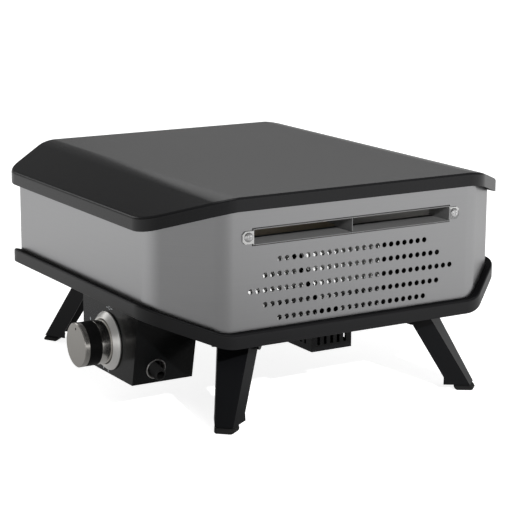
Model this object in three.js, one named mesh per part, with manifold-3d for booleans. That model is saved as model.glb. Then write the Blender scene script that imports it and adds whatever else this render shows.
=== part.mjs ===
// Portable gas pizza oven on four fold-out legs.
// Millimetres, +Z up. The mouth faces -Y, the perforated rear faces +Y, the control box is on +X.
// Sizes are written in a frame whose X and Y are zero at the middle of the body and whose Z is
// zero at the ground; the last lines shift the whole oven so that the middle of its box is X = Y = 0.

import * as THREE from 'three';
import { mergeVertices } from 'three/addons/utils/BufferGeometryUtils.js';
import Module from 'manifold-3d';

// Body plan and heights
const BODY_WIDTH = 422;
const REAR_REACH = 195;
const FRONT_REACH = 207.6;
const CORNER_X = 59;
const REAR_CORNER_Y = 49;
const FRONT_CORNER_Y = 39.9;
const BEND_RADIUS = 30;
const BEND_STEPS = 4;
const GROUND_CLEARANCE = 86.5;
const SIDE_HEIGHT = 124;
const FOLD_RADIUS = 60;
const CLEARANCE = 0.3;
const OVERCUT = 20;

// Pressed lid and tray
const LID_RIM = 13;
const LID_OVERHANG = 9;
const LID_FLANK_ANGLE = 18.7;
const TRAY_RIM = 14;
const TRAY_OVERHANG = 8;
const TRAY_FLANK_ANGLE = 21.7;
const PAN_SHEET = 1.2;
const PAN_EDGE_RADIUS = 3;
const PAN_EDGE_STEPS = 3;

// Body wrap, its perforations and its mouth
const WRAP_SHEET = 1;
const HOLE_DIAMETER = 5.6;
const HOLE_PITCH = 8.4;
const HOLE_ROW_SPACING = 15;
const HOLE_ROW_STEPS = [8, 4, 0, 4, 8];
const HOLE_FIELD_MARGIN = 22;
const HOLE_MIDDLE_HEIGHT = 39.4;
const HOLE_SIDES = 8;
const MOUTH_SIDE_MARGIN = 43;
const MOUTH_SILL = 17.5;
const MOUTH_HEIGHT = 80;
const MOUTH_FRAME_SHEET = 1.2;
const MOUTH_FRAME_PROUD = 1.5;
const MOUTH_FRAME_REACH = 24;

// Flue
const FLUE_SIDE_MARGIN = 33.3;
const FLUE_HEIGHT = 14.7;
const FLUE_ROOF_GAP = 8.6;
const FLUE_DEPTH = 34;
const FLUE_SHEET = 0.8;
const FLUE_TAB_LENGTH = 13.2;
const FLUE_TAB_HEIGHT = 13;
const FLUE_SCREW_HEAD = 9.6;
const FLUE_SCREW_SHANK = 4.8;
const FLUE_SCREW_INSET = 6.3;
const FLUE_DIVIDER_SHIFT = 2;
const FLUE_DIVIDER_SHEET = 1.5;

// Liner, floor and stone
const LINER_INSET = 22;
const LINER_SHEET = 0.8;
const LINER_END_FROM_REAR = 63;
const ROOF_DROP = 18;
const ROOF_RIM = 8;
const ROOF_OVERLAP = 2;
const FLOOR_RISE = 8;
const FLOOR_INSET = 24;
const STONE_SIDE_MARGIN = 49;
const STONE_THICKNESS = 12;
const STONE_REAR_GAP = 80;
const STONE_EDGE_GAP = 27;
const RAIL_HEIGHT = 8;
const RAIL_WIDTH = 26;
const RAIL_END_MARGIN = 6;
const RAIL_SIDE_MARGIN = 101;
const RAIL_SHEET = 1.2;

// Burner and gas train
const BURNER_SIDE_MARGIN = 22;
const BURNER_RADIUS = 12;
const BURNER_WALL = 1;
const BURNER_FROM_REAR = 50;
const BURNER_HEIGHT = 50;
const MIXER_RADIUS = 9.5;
const MIXER_BEND = 18;
const MIXER_BELL_RADIUS = 12;
const MIXER_BELL_LENGTH = 9;
const PORT_COUNT = 14;
const PORT_WIDTH = 2.4;
const PORT_LENGTH = 12;
const BURNER_BRACKET_SHEET = 2;
const BURNER_BRACKET_INSET = 22;
const BURNER_PORT_INSET = 20;
const GUARD_FROM_REAR = 76;
const GUARD_SIDE_MARGIN = 17;
const GUARD_HEIGHT = 42;
const GUARD_LIP = 12;
const GUARD_FOOT = 9;
const GUARD_SHEET = 1;
const BAFFLE_FROM_REAR = 7;
const BAFFLE_HEIGHT = 76;
const BAFFLE_FOOT = 9;
const BAFFLE_SIDE_MARGIN = 27;
const BAFFLE_LENGTH = 167;
const BAFFLE_GAP_WIDTH = 9.5;
const BAFFLE_GAP_LEAN = 34;
const BAFFLE_GAP_FROM_END = 91;
const BAFFLE_GAP_SILL = 3.5;
const BAFFLE_WINDOW_WIDTH = 24;
const BAFFLE_WINDOW_HEIGHT = 8;
const PIPE_RADIUS = 4;
const PIPE_BORE = 2.6;
const PIPE_BEND = 14;
const INJECTOR_LENGTH = 15;
const INJECTOR_GAP = 5;

// Slotted cover under the base
const COVER_WIDTH = 49.4;
const COVER_LENGTH = 75;
const COVER_FROM_REAR = 38;
const COVER_DEPTH = 31.5;
const COVER_SHEET = 1.2;
const COVER_SLOT_WIDTH = 3.2;
const COVER_SLOT_PITCH = 8.1;
const COVER_SLOT_HEIGHT = 20;
const COVER_SLOT_BASE = 7;
const COVER_REAR_SLOTS = 5;
const COVER_SIDE_SLOTS = 7;

// Control box
const BOX_STANDOFF = 2;
const BOX_WIDTH = 69;
const BOX_BOTTOM = 37.5;
const BOX_FROM_REAR = 65;
const BOX_LENGTH = 125;
const BOX_TUCK = 14.3;
const BOX_TUCK_HEIGHT = 70;
const BOX_SHEET = 1.2;
const INLET_SETBACK = 25.4;
const INLET_BELOW_VALVE = 8;
const INLET_HOLE = 20;
const INLET_REACH = 5;
const FITTING_RADIUS = 6.6;
const FITTING_NECK_RADIUS = 5;
const FITTING_HEX_RADIUS = 9.6;
const FITTING_HEX_SETBACK = 16;
const FITTING_HEX_LENGTH = 7;
const FITTING_BORE_DEPTH = 12;
const COLLAR_FLANGE = 1;
const COLLAR_DEPTH = 3.5;

// Knob and valve
const KNOB_FROM_REAR = 131;
const KNOB_HEIGHT = 72;
const KNOB_REACH = 36.4;
const KNOB_CAP_THICKNESS = 5;
const KNOB_CAP_DIAMETER = 45;
const KNOB_GRIP_LENGTH = 13.5;
const KNOB_GRIP_DIAMETER = 45;
const KNOB_SKIRT_LENGTH = 12.6;
const KNOB_SKIRT_DIAMETER = 45.6;
const KNOB_HUB_DIAMETER = 18;
const BEZEL_DIAMETER = 61;
const BEZEL_HEIGHT = 7.5;
const BEZEL_BORE = 50;
const STEM_DIAMETER = 8;
const VALVE_SIZE = 24;
const VALVE_LENGTH = 30;
const VALVE_SETBACK = 7;
const VALVE_BORE = 12;
const VALVE_BOSS = 14;
const PLUG_SETBACK = 10;
const PLUG_LENGTH = 16;
const PLUG_NECK = 10;
const PLUG_NECK_DIAMETER = 11;
const STEM_INSERTION = 6;
const PUSH_TRAVEL = 3.5;
const RUNNING_FIT = 0.08;

// Legs
const LEG_SIDE_MARGIN = 99;
const LEG_FROM_REAR = 42.8;
const LEG_FROM_FRONT = 36.6;
const LEG_PIVOT_DROP = 14.5;
const LEG_AZIMUTH = 47.5;
const LEG_SPLAY = 31;
const LEG_SHEET = 1.5;
const LEG_DEPTH = 19.5;
const LEG_WEB_OFFSET = 12;
const LEG_TOP_WIDTH = 35;
const LEG_FOOT_WIDTH = 17.6;
const LEG_FLARE = 14;
const LEG_HEAD_RADIUS = 12.5;
const LEG_HEEL_HEIGHT = 14;
const LEG_HEEL = 5.2;
const FOOT_SOLE = 6;
const FOOT_INSET = 4.5;
const FOOT_HEEL_MARGIN = 1;
const FOOT_PLUG = 20;
const FOOT_LENGTH = 16;
const PIN_RADIUS = 2.5;
const PIN_HEAD_RADIUS = 4;
const PIN_HEAD_THICKNESS = 1.5;
const BRACKET_WIDTH = 28.6;
const BRACKET_REACH = 30;
const BRACKET_SHEET = 1.8;

// Igniter
const ELECTRODE_SIDE_MARGIN = 92;
const ELECTRODE_RADIUS = 3.2;
const LEAD_RADIUS = 1.5;
const LEAD_LIFT = 4.2;
const LEAD_HOLE_SETBACK = 41;
const LEAD_HOLE_FROM_REAR = 99;

// Values worked out from the sizes above
const HALF_WIDTH = BODY_WIDTH / 2;
const REAR_Y = REAR_REACH;
const FRONT_Y = -FRONT_REACH;
const MOUTH_BACK_Y = FRONT_Y + FRONT_CORNER_Y + LINER_INSET;
const FLAT_HALF = HALF_WIDTH - CORNER_X;
const MOUTH_WIDTH = 2 * (HALF_WIDTH - MOUTH_SIDE_MARGIN);
const FLUE_WIDTH = 2 * (FLAT_HALF - FLUE_SIDE_MARGIN);
const STONE_WIDTH = 2 * (HALF_WIDTH - STONE_SIDE_MARGIN);
const BURNER_LENGTH = 2 * (FLAT_HALF - BURNER_SIDE_MARGIN);
const BOX_OUTER_X = HALF_WIDTH + BOX_STANDOFF;
const INLET_X = BOX_OUTER_X - INLET_SETBACK;
const INLET_HEIGHT = KNOB_HEIGHT - VALVE_SIZE / 2 - INLET_BELOW_VALVE;
const LEG_X = HALF_WIDTH - LEG_SIDE_MARGIN;
const ELECTRODE_X = FLAT_HALF - ELECTRODE_SIDE_MARGIN;
const TRAY_Z = GROUND_CLEARANCE + TRAY_RIM;
const LID_Z = TRAY_Z + SIDE_HEIGHT + LID_RIM;
const BODY_BASE = TRAY_Z;
const FLUE_Z = LID_Z - ROOF_DROP - ROOF_RIM - FLUE_ROOF_GAP - FLUE_SHEET - FLUE_HEIGHT;
const LEG_PIVOT_HEIGHT = TRAY_Z - LEG_PIVOT_DROP;
const BURNER_Y = REAR_Y - BURNER_FROM_REAR;
const BURNER_Z = BODY_BASE + BURNER_HEIGHT;
const COVER_REAR_Y = REAR_Y - COVER_FROM_REAR;
const COVER_FRONT_Y = COVER_REAR_Y - COVER_LENGTH;
const COVER_BOTTOM = GROUND_CLEARANCE - COVER_DEPTH;
const KNOB_Y = REAR_Y - KNOB_FROM_REAR;
const FLOOR_Z = TRAY_Z + FLOOR_RISE;
const STONE_BASE = FLOOR_Z + CLEARANCE + RAIL_HEIGHT + CLEARANCE;
const LEG_REAR_Y = REAR_Y - LEG_FROM_REAR;
const LEG_FRONT_Y = FRONT_Y + LEG_FROM_FRONT;

const radians = THREE.MathUtils.degToRad;
const wasm = await Module();
wasm.setup();

// Solids: joining and cutting closed meshes

function solid(geometry) {
  const bare = geometry.clone();
  bare.deleteAttribute('normal');
  bare.deleteAttribute('uv');
  const merged = mergeVertices(bare, 1e-4);
  const vertProperties = new Float32Array(merged.attributes.position.array);
  const triVerts = new Uint32Array(merged.index.array);
  return new wasm.Manifold(new wasm.Mesh({ numProp: 3, vertProperties, triVerts }));
}

function surface(manifold) {
  const mesh = manifold.getMesh();
  const geometry = new THREE.BufferGeometry();
  geometry.setAttribute('position', new THREE.BufferAttribute(new Float32Array(mesh.vertProperties), 3));
  geometry.setIndex(new THREE.BufferAttribute(new Uint32Array(mesh.triVerts), 1));
  const faceted = geometry.toNonIndexed();
  faceted.computeVertexNormals();
  return faceted;
}

function joined(...geometries) {
  return geometries.map(solid).reduce((whole, piece) => whole.add(piece));
}

function cut(body, ...tools) {
  let result = body instanceof THREE.BufferGeometry ? solid(body) : body;
  for (const tool of tools) {
    result = result.subtract(tool instanceof THREE.BufferGeometry ? solid(tool) : tool);
  }
  return surface(result);
}

// Basic forms

function block(x0, x1, y0, y1, z0, z1) {
  const box = new THREE.BoxGeometry(x1 - x0, y1 - y0, z1 - z0);
  return box.translate((x0 + x1) / 2, (y0 + y1) / 2, (z0 + z1) / 2);
}

function shapeOf(points) {
  return new THREE.Shape(points.map(([a, b]) => new THREE.Vector2(a, b)));
}

function circlePoints(radius, sides, cx = 0, cy = 0) {
  const points = [];
  for (let i = 0; i < sides; i += 1) {
    const angle = (i + 0.5) / sides * 2 * Math.PI;
    points.push([cx + radius * Math.cos(angle), cy + radius * Math.sin(angle)]);
  }
  return points;
}

// Prism of an outline in X and Y, from z0 to z1
function prismZ(points, z0, z1) {
  const options = { depth: z1 - z0, bevelEnabled: false, steps: 1 };
  return new THREE.ExtrudeGeometry(shapeOf(points), options).translate(0, 0, z0);
}

// Prism of an outline in Y and Z, from x0 to x1
function prismX(points, x0, x1) {
  const form = prismZ(points, x0, x1);
  const turn = new THREE.Matrix4().makeBasis(
    new THREE.Vector3(0, 1, 0), new THREE.Vector3(0, 0, 1), new THREE.Vector3(1, 0, 0));
  return form.applyMatrix4(turn);
}

// Prism of an outline in X and Z, from y0 to y1
function prismY(points, y0, y1) {
  const form = prismZ(points, -y1, -y0);
  const turn = new THREE.Matrix4().makeBasis(
    new THREE.Vector3(1, 0, 0), new THREE.Vector3(0, 0, 1), new THREE.Vector3(0, -1, 0));
  return form.applyMatrix4(turn);
}

// Body of revolution about X: profile points are [distance along X, radius]
function turnedX(profile, sides) {
  const points = profile.map(([along, radius]) => new THREE.Vector2(radius, along));
  return new THREE.LatheGeometry(points, sides).rotateZ(-Math.PI / 2);
}

// Body of revolution about Y: profile points are [distance along Y, radius]
function turnedY(profile, sides) {
  const points = profile.map(([along, radius]) => new THREE.Vector2(radius, along));
  return new THREE.LatheGeometry(points, sides);
}

// Straight lines joined by round bends of one radius
function bentPath(corners, radius) {
  const path = new THREE.CurvePath();
  let start = corners[0].clone();
  for (let i = 1; i < corners.length - 1; i += 1) {
    const before = corners[i - 1].clone().sub(corners[i]).normalize();
    const after = corners[i + 1].clone().sub(corners[i]).normalize();
    const half = before.angleTo(after) / 2;
    const reach = radius / Math.tan(half);
    const handle = radius * 4 / 3 * Math.tan((Math.PI - 2 * half) / 4);
    const enter = corners[i].clone().addScaledVector(before, reach);
    const leave = corners[i].clone().addScaledVector(after, reach);
    path.add(new THREE.LineCurve3(start, enter));
    path.add(new THREE.CubicBezierCurve3(
      enter,
      enter.clone().addScaledVector(before, -handle),
      leave.clone().addScaledVector(after, -handle),
      leave));
    start = leave;
  }
  path.add(new THREE.LineCurve3(start, corners[corners.length - 1].clone()));
  return path;
}

function rod(path, radius, sides, steps, bore = 0) {
  const section = shapeOf(circlePoints(radius, sides));
  if (bore > 0) section.holes.push(new THREE.Path(shapeOf(circlePoints(bore, sides)).getPoints()));
  return new THREE.ExtrudeGeometry(section, { steps, bevelEnabled: false, extrudePath: path });
}

// Plan of the body: eight sides with bent corners

// Corner points of one quarter of the plan, from the end bend to the side bend, grown by offset
function quarterPlan(reachY, cornerY, offset) {
  const slant = Math.atan2(cornerY, CORNER_X);
  const bends = [
    { x: FLAT_HALF, y: reachY, from: Math.PI / 2, to: Math.PI / 2 - slant },
    { x: HALF_WIDTH, y: reachY - cornerY, from: Math.PI / 2 - slant, to: 0 },
  ];
  const points = [];
  for (const bend of bends) {
    const middle = (bend.from + bend.to) / 2;
    const reach = BEND_RADIUS / Math.cos((bend.from - bend.to) / 2);
    const cx = bend.x - reach * Math.cos(middle);
    const cy = bend.y - reach * Math.sin(middle);
    for (let i = 0; i <= BEND_STEPS; i += 1) {
      const angle = bend.from + (bend.to - bend.from) * i / BEND_STEPS;
      const radius = BEND_RADIUS + offset;
      points.push([cx + radius * Math.cos(angle), cy + radius * Math.sin(angle)]);
    }
  }
  return points;
}

function wholePlan(offset) {
  const rear = quarterPlan(REAR_REACH, REAR_CORNER_Y, offset);
  const front = quarterPlan(FRONT_REACH, FRONT_CORNER_Y, offset);
  return [
    ...[...rear].reverse(),
    ...rear.map(([x, y]) => [-x, y]),
    ...[...front].reverse().map(([x, y]) => [-x, -y]),
    ...front.map(([x, y]) => [x, -y]),
  ];
}

// Height lost on a flank that folds down at the corner of the flat middle
function flankFall(x, angle) {
  const slope = Math.tan(radians(angle));
  const reach = FOLD_RADIUS * Math.tan(radians(angle) / 2);
  const from = Math.abs(x) - (FLAT_HALF - reach);
  if (from <= 0) return 0;
  if (from >= 2 * reach) return (Math.abs(x) - FLAT_HALF) * slope;
  const arc = FOLD_RADIUS - Math.sqrt(FOLD_RADIUS ** 2 - from ** 2);
  return Math.min(arc, (from) * slope);
}

function lidHeight(x) {
  return LID_Z - flankFall(x, LID_FLANK_ANGLE);
}

function trayHeight(x) {
  return TRAY_Z + flankFall(x, TRAY_FLANK_ANGLE);
}

function ring(offset, height) {
  return wholePlan(offset).map(([x, y]) => [x, y, height(x)]);
}

// Closed mesh from rings that follow each other round the section of a sheet
function ringBody(rings, loop, capped) {
  const count = rings[0].length;
  const positions = rings.flat(2);
  const index = [];
  const bands = loop ? rings.length : rings.length - 1;
  for (let r = 0; r < bands; r += 1) {
    const a = r * count;
    const b = (r + 1) % rings.length * count;
    for (let i = 0; i < count; i += 1) {
      const j = (i + 1) % count;
      index.push(a + i, a + j, b + j, a + i, b + j, b + i);
    }
  }
  if (capped) {
    const quarter = count / 4;
    const cap = (base, up) => {
      const quad = (p, q, r, s) => {
        if (up) index.push(base + p, base + q, base + r, base + p, base + r, base + s);
        else index.push(base + p, base + r, base + q, base + p, base + s, base + r);
      };
      for (let k = 0; k < quarter - 1; k += 1) {
        const rearPlus = quarter - 1 - k;
        const frontPlus = 3 * quarter + k;
        quad(frontPlus, frontPlus + 1, rearPlus - 1, rearPlus);
        const rearMinus = quarter + k;
        const frontMinus = 3 * quarter - 1 - k;
        quad(frontMinus - 1, frontMinus, rearMinus, rearMinus + 1);
      }
      quad(3 * quarter - 1, 3 * quarter, quarter - 1, quarter);
    };
    cap((rings.length - 1) * count, true);
    cap(0, false);
  }
  const geometry = new THREE.BufferGeometry();
  geometry.setAttribute('position', new THREE.Float32BufferAttribute(positions, 3));
  geometry.setIndex(index);
  return geometry;
}

// Pressed pan: a sheet that follows height(x), with a rim turned down round its whole edge
function pressedPan(offset, height, rim, sheet, edgeRadius, edgeSteps) {
  const inner = [];
  const outer = [];
  const innerRadius = Math.max(edgeRadius - sheet, sheet / 4);
  for (let i = 0; i <= edgeSteps; i += 1) {
    const angle = i / edgeSteps * Math.PI / 2;
    const across = 1 - Math.cos(angle);
    const down = 1 - Math.sin(angle);
    outer.push(ring(offset - edgeRadius * across, (x) => height(x) - edgeRadius * down));
    inner.push(ring(offset - sheet - innerRadius * across, (x) => height(x) - sheet - innerRadius * down));
  }
  inner.reverse();
  inner.push(ring(offset - sheet, (x) => height(x) - rim));
  outer.unshift(ring(offset, (x) => height(x) - rim));
  return ringBody([...inner, ...outer], false, true);
}

// Upright sheet wall that follows the plan between two heights
function planWall(offset, sheet, low, high) {
  return ringBody([
    ring(offset, low), ring(offset, high), ring(offset - sheet, high), ring(offset - sheet, low),
  ], true, false);
}

// Shell pieces

function lidShell() {
  return pressedPan(LID_OVERHANG, lidHeight, LID_RIM, PAN_SHEET, PAN_EDGE_RADIUS, PAN_EDGE_STEPS);
}

const PIPE_Z = KNOB_HEIGHT;
const LEAD_HOLE = { x: BOX_OUTER_X - LEAD_HOLE_SETBACK, y: REAR_Y - LEAD_HOLE_FROM_REAR };

function upright(x, y, radius, z0, z1, sides = 16) {
  return prismZ(circlePoints(radius, sides, x, y), z0, z1);
}

function baseTray() {
  const pan = pressedPan(TRAY_OVERHANG, trayHeight, TRAY_RIM, PAN_SHEET, PAN_EDGE_RADIUS, PAN_EDGE_STEPS);
  const leadHoleTop = trayHeight(LEAD_HOLE.x) + FLOOR_RISE;
  return cut(pan,
    upright(0, BURNER_Y, MIXER_RADIUS + 2, 0, LID_Z),
    upright(LEAD_HOLE.x, LEAD_HOLE.y, 3 * LEAD_RADIUS, TRAY_Z - TRAY_RIM, leadHoleTop, 10));
}

function perforations() {
  const shapes = [];
  const longest = 2 * Math.floor((FLAT_HALF - HOLE_FIELD_MARGIN) / HOLE_PITCH);
  HOLE_ROW_STEPS.forEach((fewer, row) => {
    const count = longest - fewer;
    const z = BODY_BASE + HOLE_MIDDLE_HEIGHT + (2 - row) * HOLE_ROW_SPACING;
    for (let i = 0; i < count; i += 1) {
      const x = (i - (count - 1) / 2) * HOLE_PITCH;
      shapes.push(shapeOf(circlePoints(HOLE_DIAMETER / 2, HOLE_SIDES, x, -z)));
    }
  });
  const tools = new THREE.ExtrudeGeometry(shapes, { depth: 4 * WRAP_SHEET, bevelEnabled: false });
  return tools.rotateX(-Math.PI / 2).translate(0, REAR_Y - 2 * WRAP_SHEET, 0);
}

function mouthBlock(gap, z0 = BODY_BASE + MOUTH_SILL, z1 = z0 + MOUTH_HEIGHT) {
  const half = MOUTH_WIDTH / 2 + gap;
  return block(-half, half, FRONT_Y - OVERCUT, MOUTH_BACK_Y, z0 - gap, z1 + gap);
}

function bodyWrap() {
  const wall = planWall(0, WRAP_SHEET,
    (x) => trayHeight(x) + CLEARANCE,
    (x) => lidHeight(x) - PAN_SHEET - CLEARANCE);
  const half = FLUE_WIDTH / 2 + FLUE_SHEET + CLEARANCE;
  const low = FLUE_Z - FLUE_SHEET - CLEARANCE;
  const high = low + FLUE_HEIGHT + 2 * FLUE_SHEET + 2 * CLEARANCE;
  const slot = block(-half, half, REAR_Y - 10, REAR_Y + 10, low, high);
  return cut(wall, perforations(), slot, mouthBlock(0), ...flueScrewHoles());
}

function mouthFrame() {
  const sill = BODY_BASE + MOUTH_SILL;
  const half = MOUTH_WIDTH / 2 - CLEARANCE;
  const front = FRONT_Y - OVERCUT;
  const tube = cut(
    block(-half, half, front, MOUTH_BACK_Y, sill + CLEARANCE, sill + MOUTH_HEIGHT - CLEARANCE),
    block(-half + MOUTH_FRAME_SHEET, half - MOUTH_FRAME_SHEET, front - OVERCUT, MOUTH_BACK_Y + OVERCUT,
      sill + CLEARANCE + MOUTH_FRAME_SHEET, sill + MOUTH_HEIGHT - CLEARANCE - MOUTH_FRAME_SHEET));
  const reach = solid(prismZ(wholePlan(MOUTH_FRAME_PROUD), 0, LID_Z));
  const inside = solid(prismZ(wholePlan(-MOUTH_FRAME_REACH), 0, LID_Z));
  return surface(solid(tube).intersect(reach).subtract(inside));
}

// Flue

function flueScrewPlaces() {
  const x = FLUE_WIDTH / 2 + FLUE_SCREW_INSET;
  const z = FLUE_Z + FLUE_HEIGHT / 2 + 0.5;
  return [[-x, z], [x, z]];
}

function flueScrewHoles() {
  return flueScrewPlaces().map(([x, z]) => {
    const radius = FLUE_SCREW_SHANK / 2 + CLEARANCE;
    const hole = turnedY([[-5, 0], [-5, radius], [6, radius], [6, 0]], 12);
    return hole.translate(x, REAR_Y, z);
  });
}

function flueDuct() {
  const half = FLUE_WIDTH / 2;
  const low = FLUE_Z;
  const high = low + FLUE_HEIGHT;
  const front = REAR_Y + CLEARANCE + FLUE_SHEET;
  const back = REAR_Y - FLUE_DEPTH;
  const outside = block(-half - FLUE_SHEET, half + FLUE_SHEET, back, front, low - FLUE_SHEET, high + FLUE_SHEET);
  const middle = (low + high) / 2;
  const tabs = [-1, 1].map((side) => {
    const root = side * (half + FLUE_SHEET / 2);
    const tip = side * (half + FLUE_TAB_LENGTH);
    const h = FLUE_TAB_HEIGHT / 2;
    const soft = 3;
    const outline = [
      [root, middle - h], [tip - side * soft, middle - h], [tip, middle - h + soft],
      [tip, middle + h - soft], [tip - side * soft, middle + h], [root, middle + h],
    ];
    const points = side > 0 ? outline : outline.reverse();
    return prismY(points, REAR_Y + CLEARANCE, front);
  });
  const inside = block(-half, half, back - 5, front + 5, low, high);
  return cut(joined(outside, ...tabs), inside, ...flueScrewHoles());
}

function flueDivider() {
  const low = FLUE_Z + CLEARANCE;
  const x = FLUE_DIVIDER_SHIFT;
  const half = FLUE_DIVIDER_SHEET / 2;
  return block(x - half, x + half, REAR_Y - FLUE_DEPTH + 1, REAR_Y, low, low + FLUE_HEIGHT - 2 * CLEARANCE);
}

function flueScrew() {
  const seat = CLEARANCE + FLUE_SHEET + CLEARANCE;
  const head = FLUE_SCREW_HEAD / 2;
  const shank = FLUE_SCREW_SHANK / 2;
  return turnedY([
    [-5, 0], [-5, shank], [seat, shank], [seat, head], [seat + 1.4, head],
    [seat + 2.2, head * 0.8], [seat + 2.7, head * 0.4], [seat + 2.8, 0],
  ], 16);
}

// Liner, floor and stone

function roofHeight(x) {
  return lidHeight(x) - ROOF_DROP;
}

function floorHeight(x) {
  return trayHeight(x) + FLOOR_RISE;
}

function roofLiner() {
  return pressedPan(-LINER_INSET + ROOF_OVERLAP, roofHeight, ROOF_RIM, LINER_SHEET, 2, 2);
}

function linerWall() {
  const wall = planWall(-LINER_INSET, LINER_SHEET,
    (x) => trayHeight(x) + CLEARANCE,
    (x) => roofHeight(x) - LINER_SHEET - CLEARANCE);
  const rear = block(-HALF_WIDTH, HALF_WIDTH, REAR_Y - LINER_END_FROM_REAR, REAR_Y, 0, LID_Z);
  return cut(wall, mouthBlock(0), rear);
}

function floorPan() {
  const pan = pressedPan(-FLOOR_INSET, floorHeight, FLOOR_RISE - CLEARANCE, LINER_SHEET, 2, 2);
  return cut(pan,
    upright(0, BURNER_Y, MIXER_RADIUS + 2, 0, LID_Z),
    upright(ELECTRODE_X, electrodeY(), ELECTRODE_RADIUS + 1, 0, LID_Z, 12));
}

function stone() {
  const outline = solid(prismZ(wholePlan(-STONE_EDGE_GAP), STONE_BASE, STONE_BASE + STONE_THICKNESS));
  const half = STONE_WIDTH / 2;
  const room = block(-half, half, FRONT_Y, REAR_Y - STONE_REAR_GAP, 0, LID_Z);
  return surface(outline.intersect(solid(room)));
}

// Hat-section rail along Y
function stoneRail(x) {
  const w = RAIL_WIDTH / 2;
  const t = RAIL_SHEET;
  const h = RAIL_HEIGHT;
  const z = FLOOR_Z + CLEARANCE;
  const outline = [
    [-w, z], [-w / 2 + t, z], [-w / 2 + t, z + h - t], [w / 2 - t, z + h - t], [w / 2 - t, z],
    [w, z], [w, z + t], [w / 2, z + t], [w / 2, z + h], [-w / 2, z + h], [-w / 2, z + t], [-w, z + t],
  ];
  const start = FRONT_Y + STONE_EDGE_GAP + RAIL_END_MARGIN;
  const end = REAR_Y - STONE_REAR_GAP - RAIL_END_MARGIN;
  return prismY(outline.map(([a, b]) => [a + x, b]), start, end);
}

// Burner and gas train

function mixerPath(extra) {
  const bellFront = COVER_FRONT_Y + INJECTOR_LENGTH + 2 * INJECTOR_GAP - extra;
  return bentPath([
    new THREE.Vector3(0, bellFront, PIPE_Z),
    new THREE.Vector3(0, BURNER_Y, PIPE_Z),
    new THREE.Vector3(0, BURNER_Y, BURNER_Z - (extra > 0 ? 0 : BURNER_RADIUS / 2)),
  ], MIXER_BEND);
}

function burner() {
  const half = BURNER_LENGTH / 2;
  const r = BURNER_RADIUS;
  const w = BURNER_WALL;
  const tube = turnedX([[-half, 0], [-half, r - 2], [-half + 2, r], [half - 2, r], [half, r - 2], [half, 0]], 16);
  const end = half - 2 * w;
  const bore = turnedX([[-end, 0], [-end, r - w], [end, r - w], [end, 0]], 16);
  const bellY = COVER_FRONT_Y + INJECTOR_LENGTH + 2 * INJECTOR_GAP;
  const bell = turnedY([
    [0, 0], [0, MIXER_BELL_RADIUS], [MIXER_BELL_LENGTH, MIXER_RADIUS], [MIXER_BELL_LENGTH, 0],
  ], 12).translate(0, bellY, PIPE_Z);
  const bellBore = turnedY([
    [-1, 0], [-1, MIXER_BELL_RADIUS - w], [0, MIXER_BELL_RADIUS - w],
    [MIXER_BELL_LENGTH, MIXER_RADIUS - w], [MIXER_BELL_LENGTH, 0],
  ], 12).translate(0, bellY, PIPE_Z);
  const outer = joined(
    tube.translate(0, BURNER_Y, BURNER_Z), rod(mixerPath(0), MIXER_RADIUS, 12, 16), bell);
  const inner = joined(
    bore.translate(0, BURNER_Y, BURNER_Z), rod(mixerPath(1), MIXER_RADIUS - w, 12, 16), bellBore);
  const ports = [];
  for (let i = 0; i < PORT_COUNT; i += 1) {
    const x = (i - (PORT_COUNT - 1) / 2) * (BURNER_LENGTH - 2 * BURNER_PORT_INSET) / (PORT_COUNT - 1);
    ports.push(block(x - PORT_WIDTH / 2, x + PORT_WIDTH / 2,
      BURNER_Y - PORT_LENGTH / 2, BURNER_Y + PORT_LENGTH / 2, BURNER_Z, BURNER_Z + 2 * r));
  }
  return cut(outer, inner, ...ports);
}

function burnerBracket() {
  const foot = FLOOR_Z + CLEARANCE;
  const t = BURNER_BRACKET_SHEET;
  const r = BURNER_RADIUS;
  const plate = prismX([
    [-r - 3, foot], [r + 3, foot], [r + 3, BURNER_Z - 2], [-r - 3, BURNER_Z - 2],
  ], -t / 2, t / 2);
  const shelf = block(-t / 2, 14, -r - 3, r + 3, foot, foot + t);
  const seat = turnedX([[-5, 0], [-5, r + CLEARANCE], [OVERCUT, r + CLEARANCE], [OVERCUT, 0]], 20);
  return cut(joined(plate, shelf), seat.translate(0, 0, BURNER_Z));
}

function flameGuard() {
  const y = REAR_Y - GUARD_FROM_REAR;
  const z = FLOOR_Z + CLEARANCE;
  const t = GUARD_SHEET;
  const top = z + GUARD_HEIGHT;
  const lean = GUARD_LIP * Math.SQRT1_2;
  const profile = [
    [y, z], [y + GUARD_FOOT, z], [y + GUARD_FOOT, z + t], [y + t, z + t], [y + t, top - t / 2],
    [y + t + lean, top + lean - t / 2], [y + lean, top + lean + t / 2], [y, top],
  ];
  const reach = FLAT_HALF - GUARD_SIDE_MARGIN;
  const sheet = prismX(profile, -reach, reach);
  const half = MIXER_RADIUS + 3;
  return cut(sheet, block(-half, half, y + t + 2, y + GUARD_FOOT + 2, z - 1, z + t + 1));
}

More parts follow.
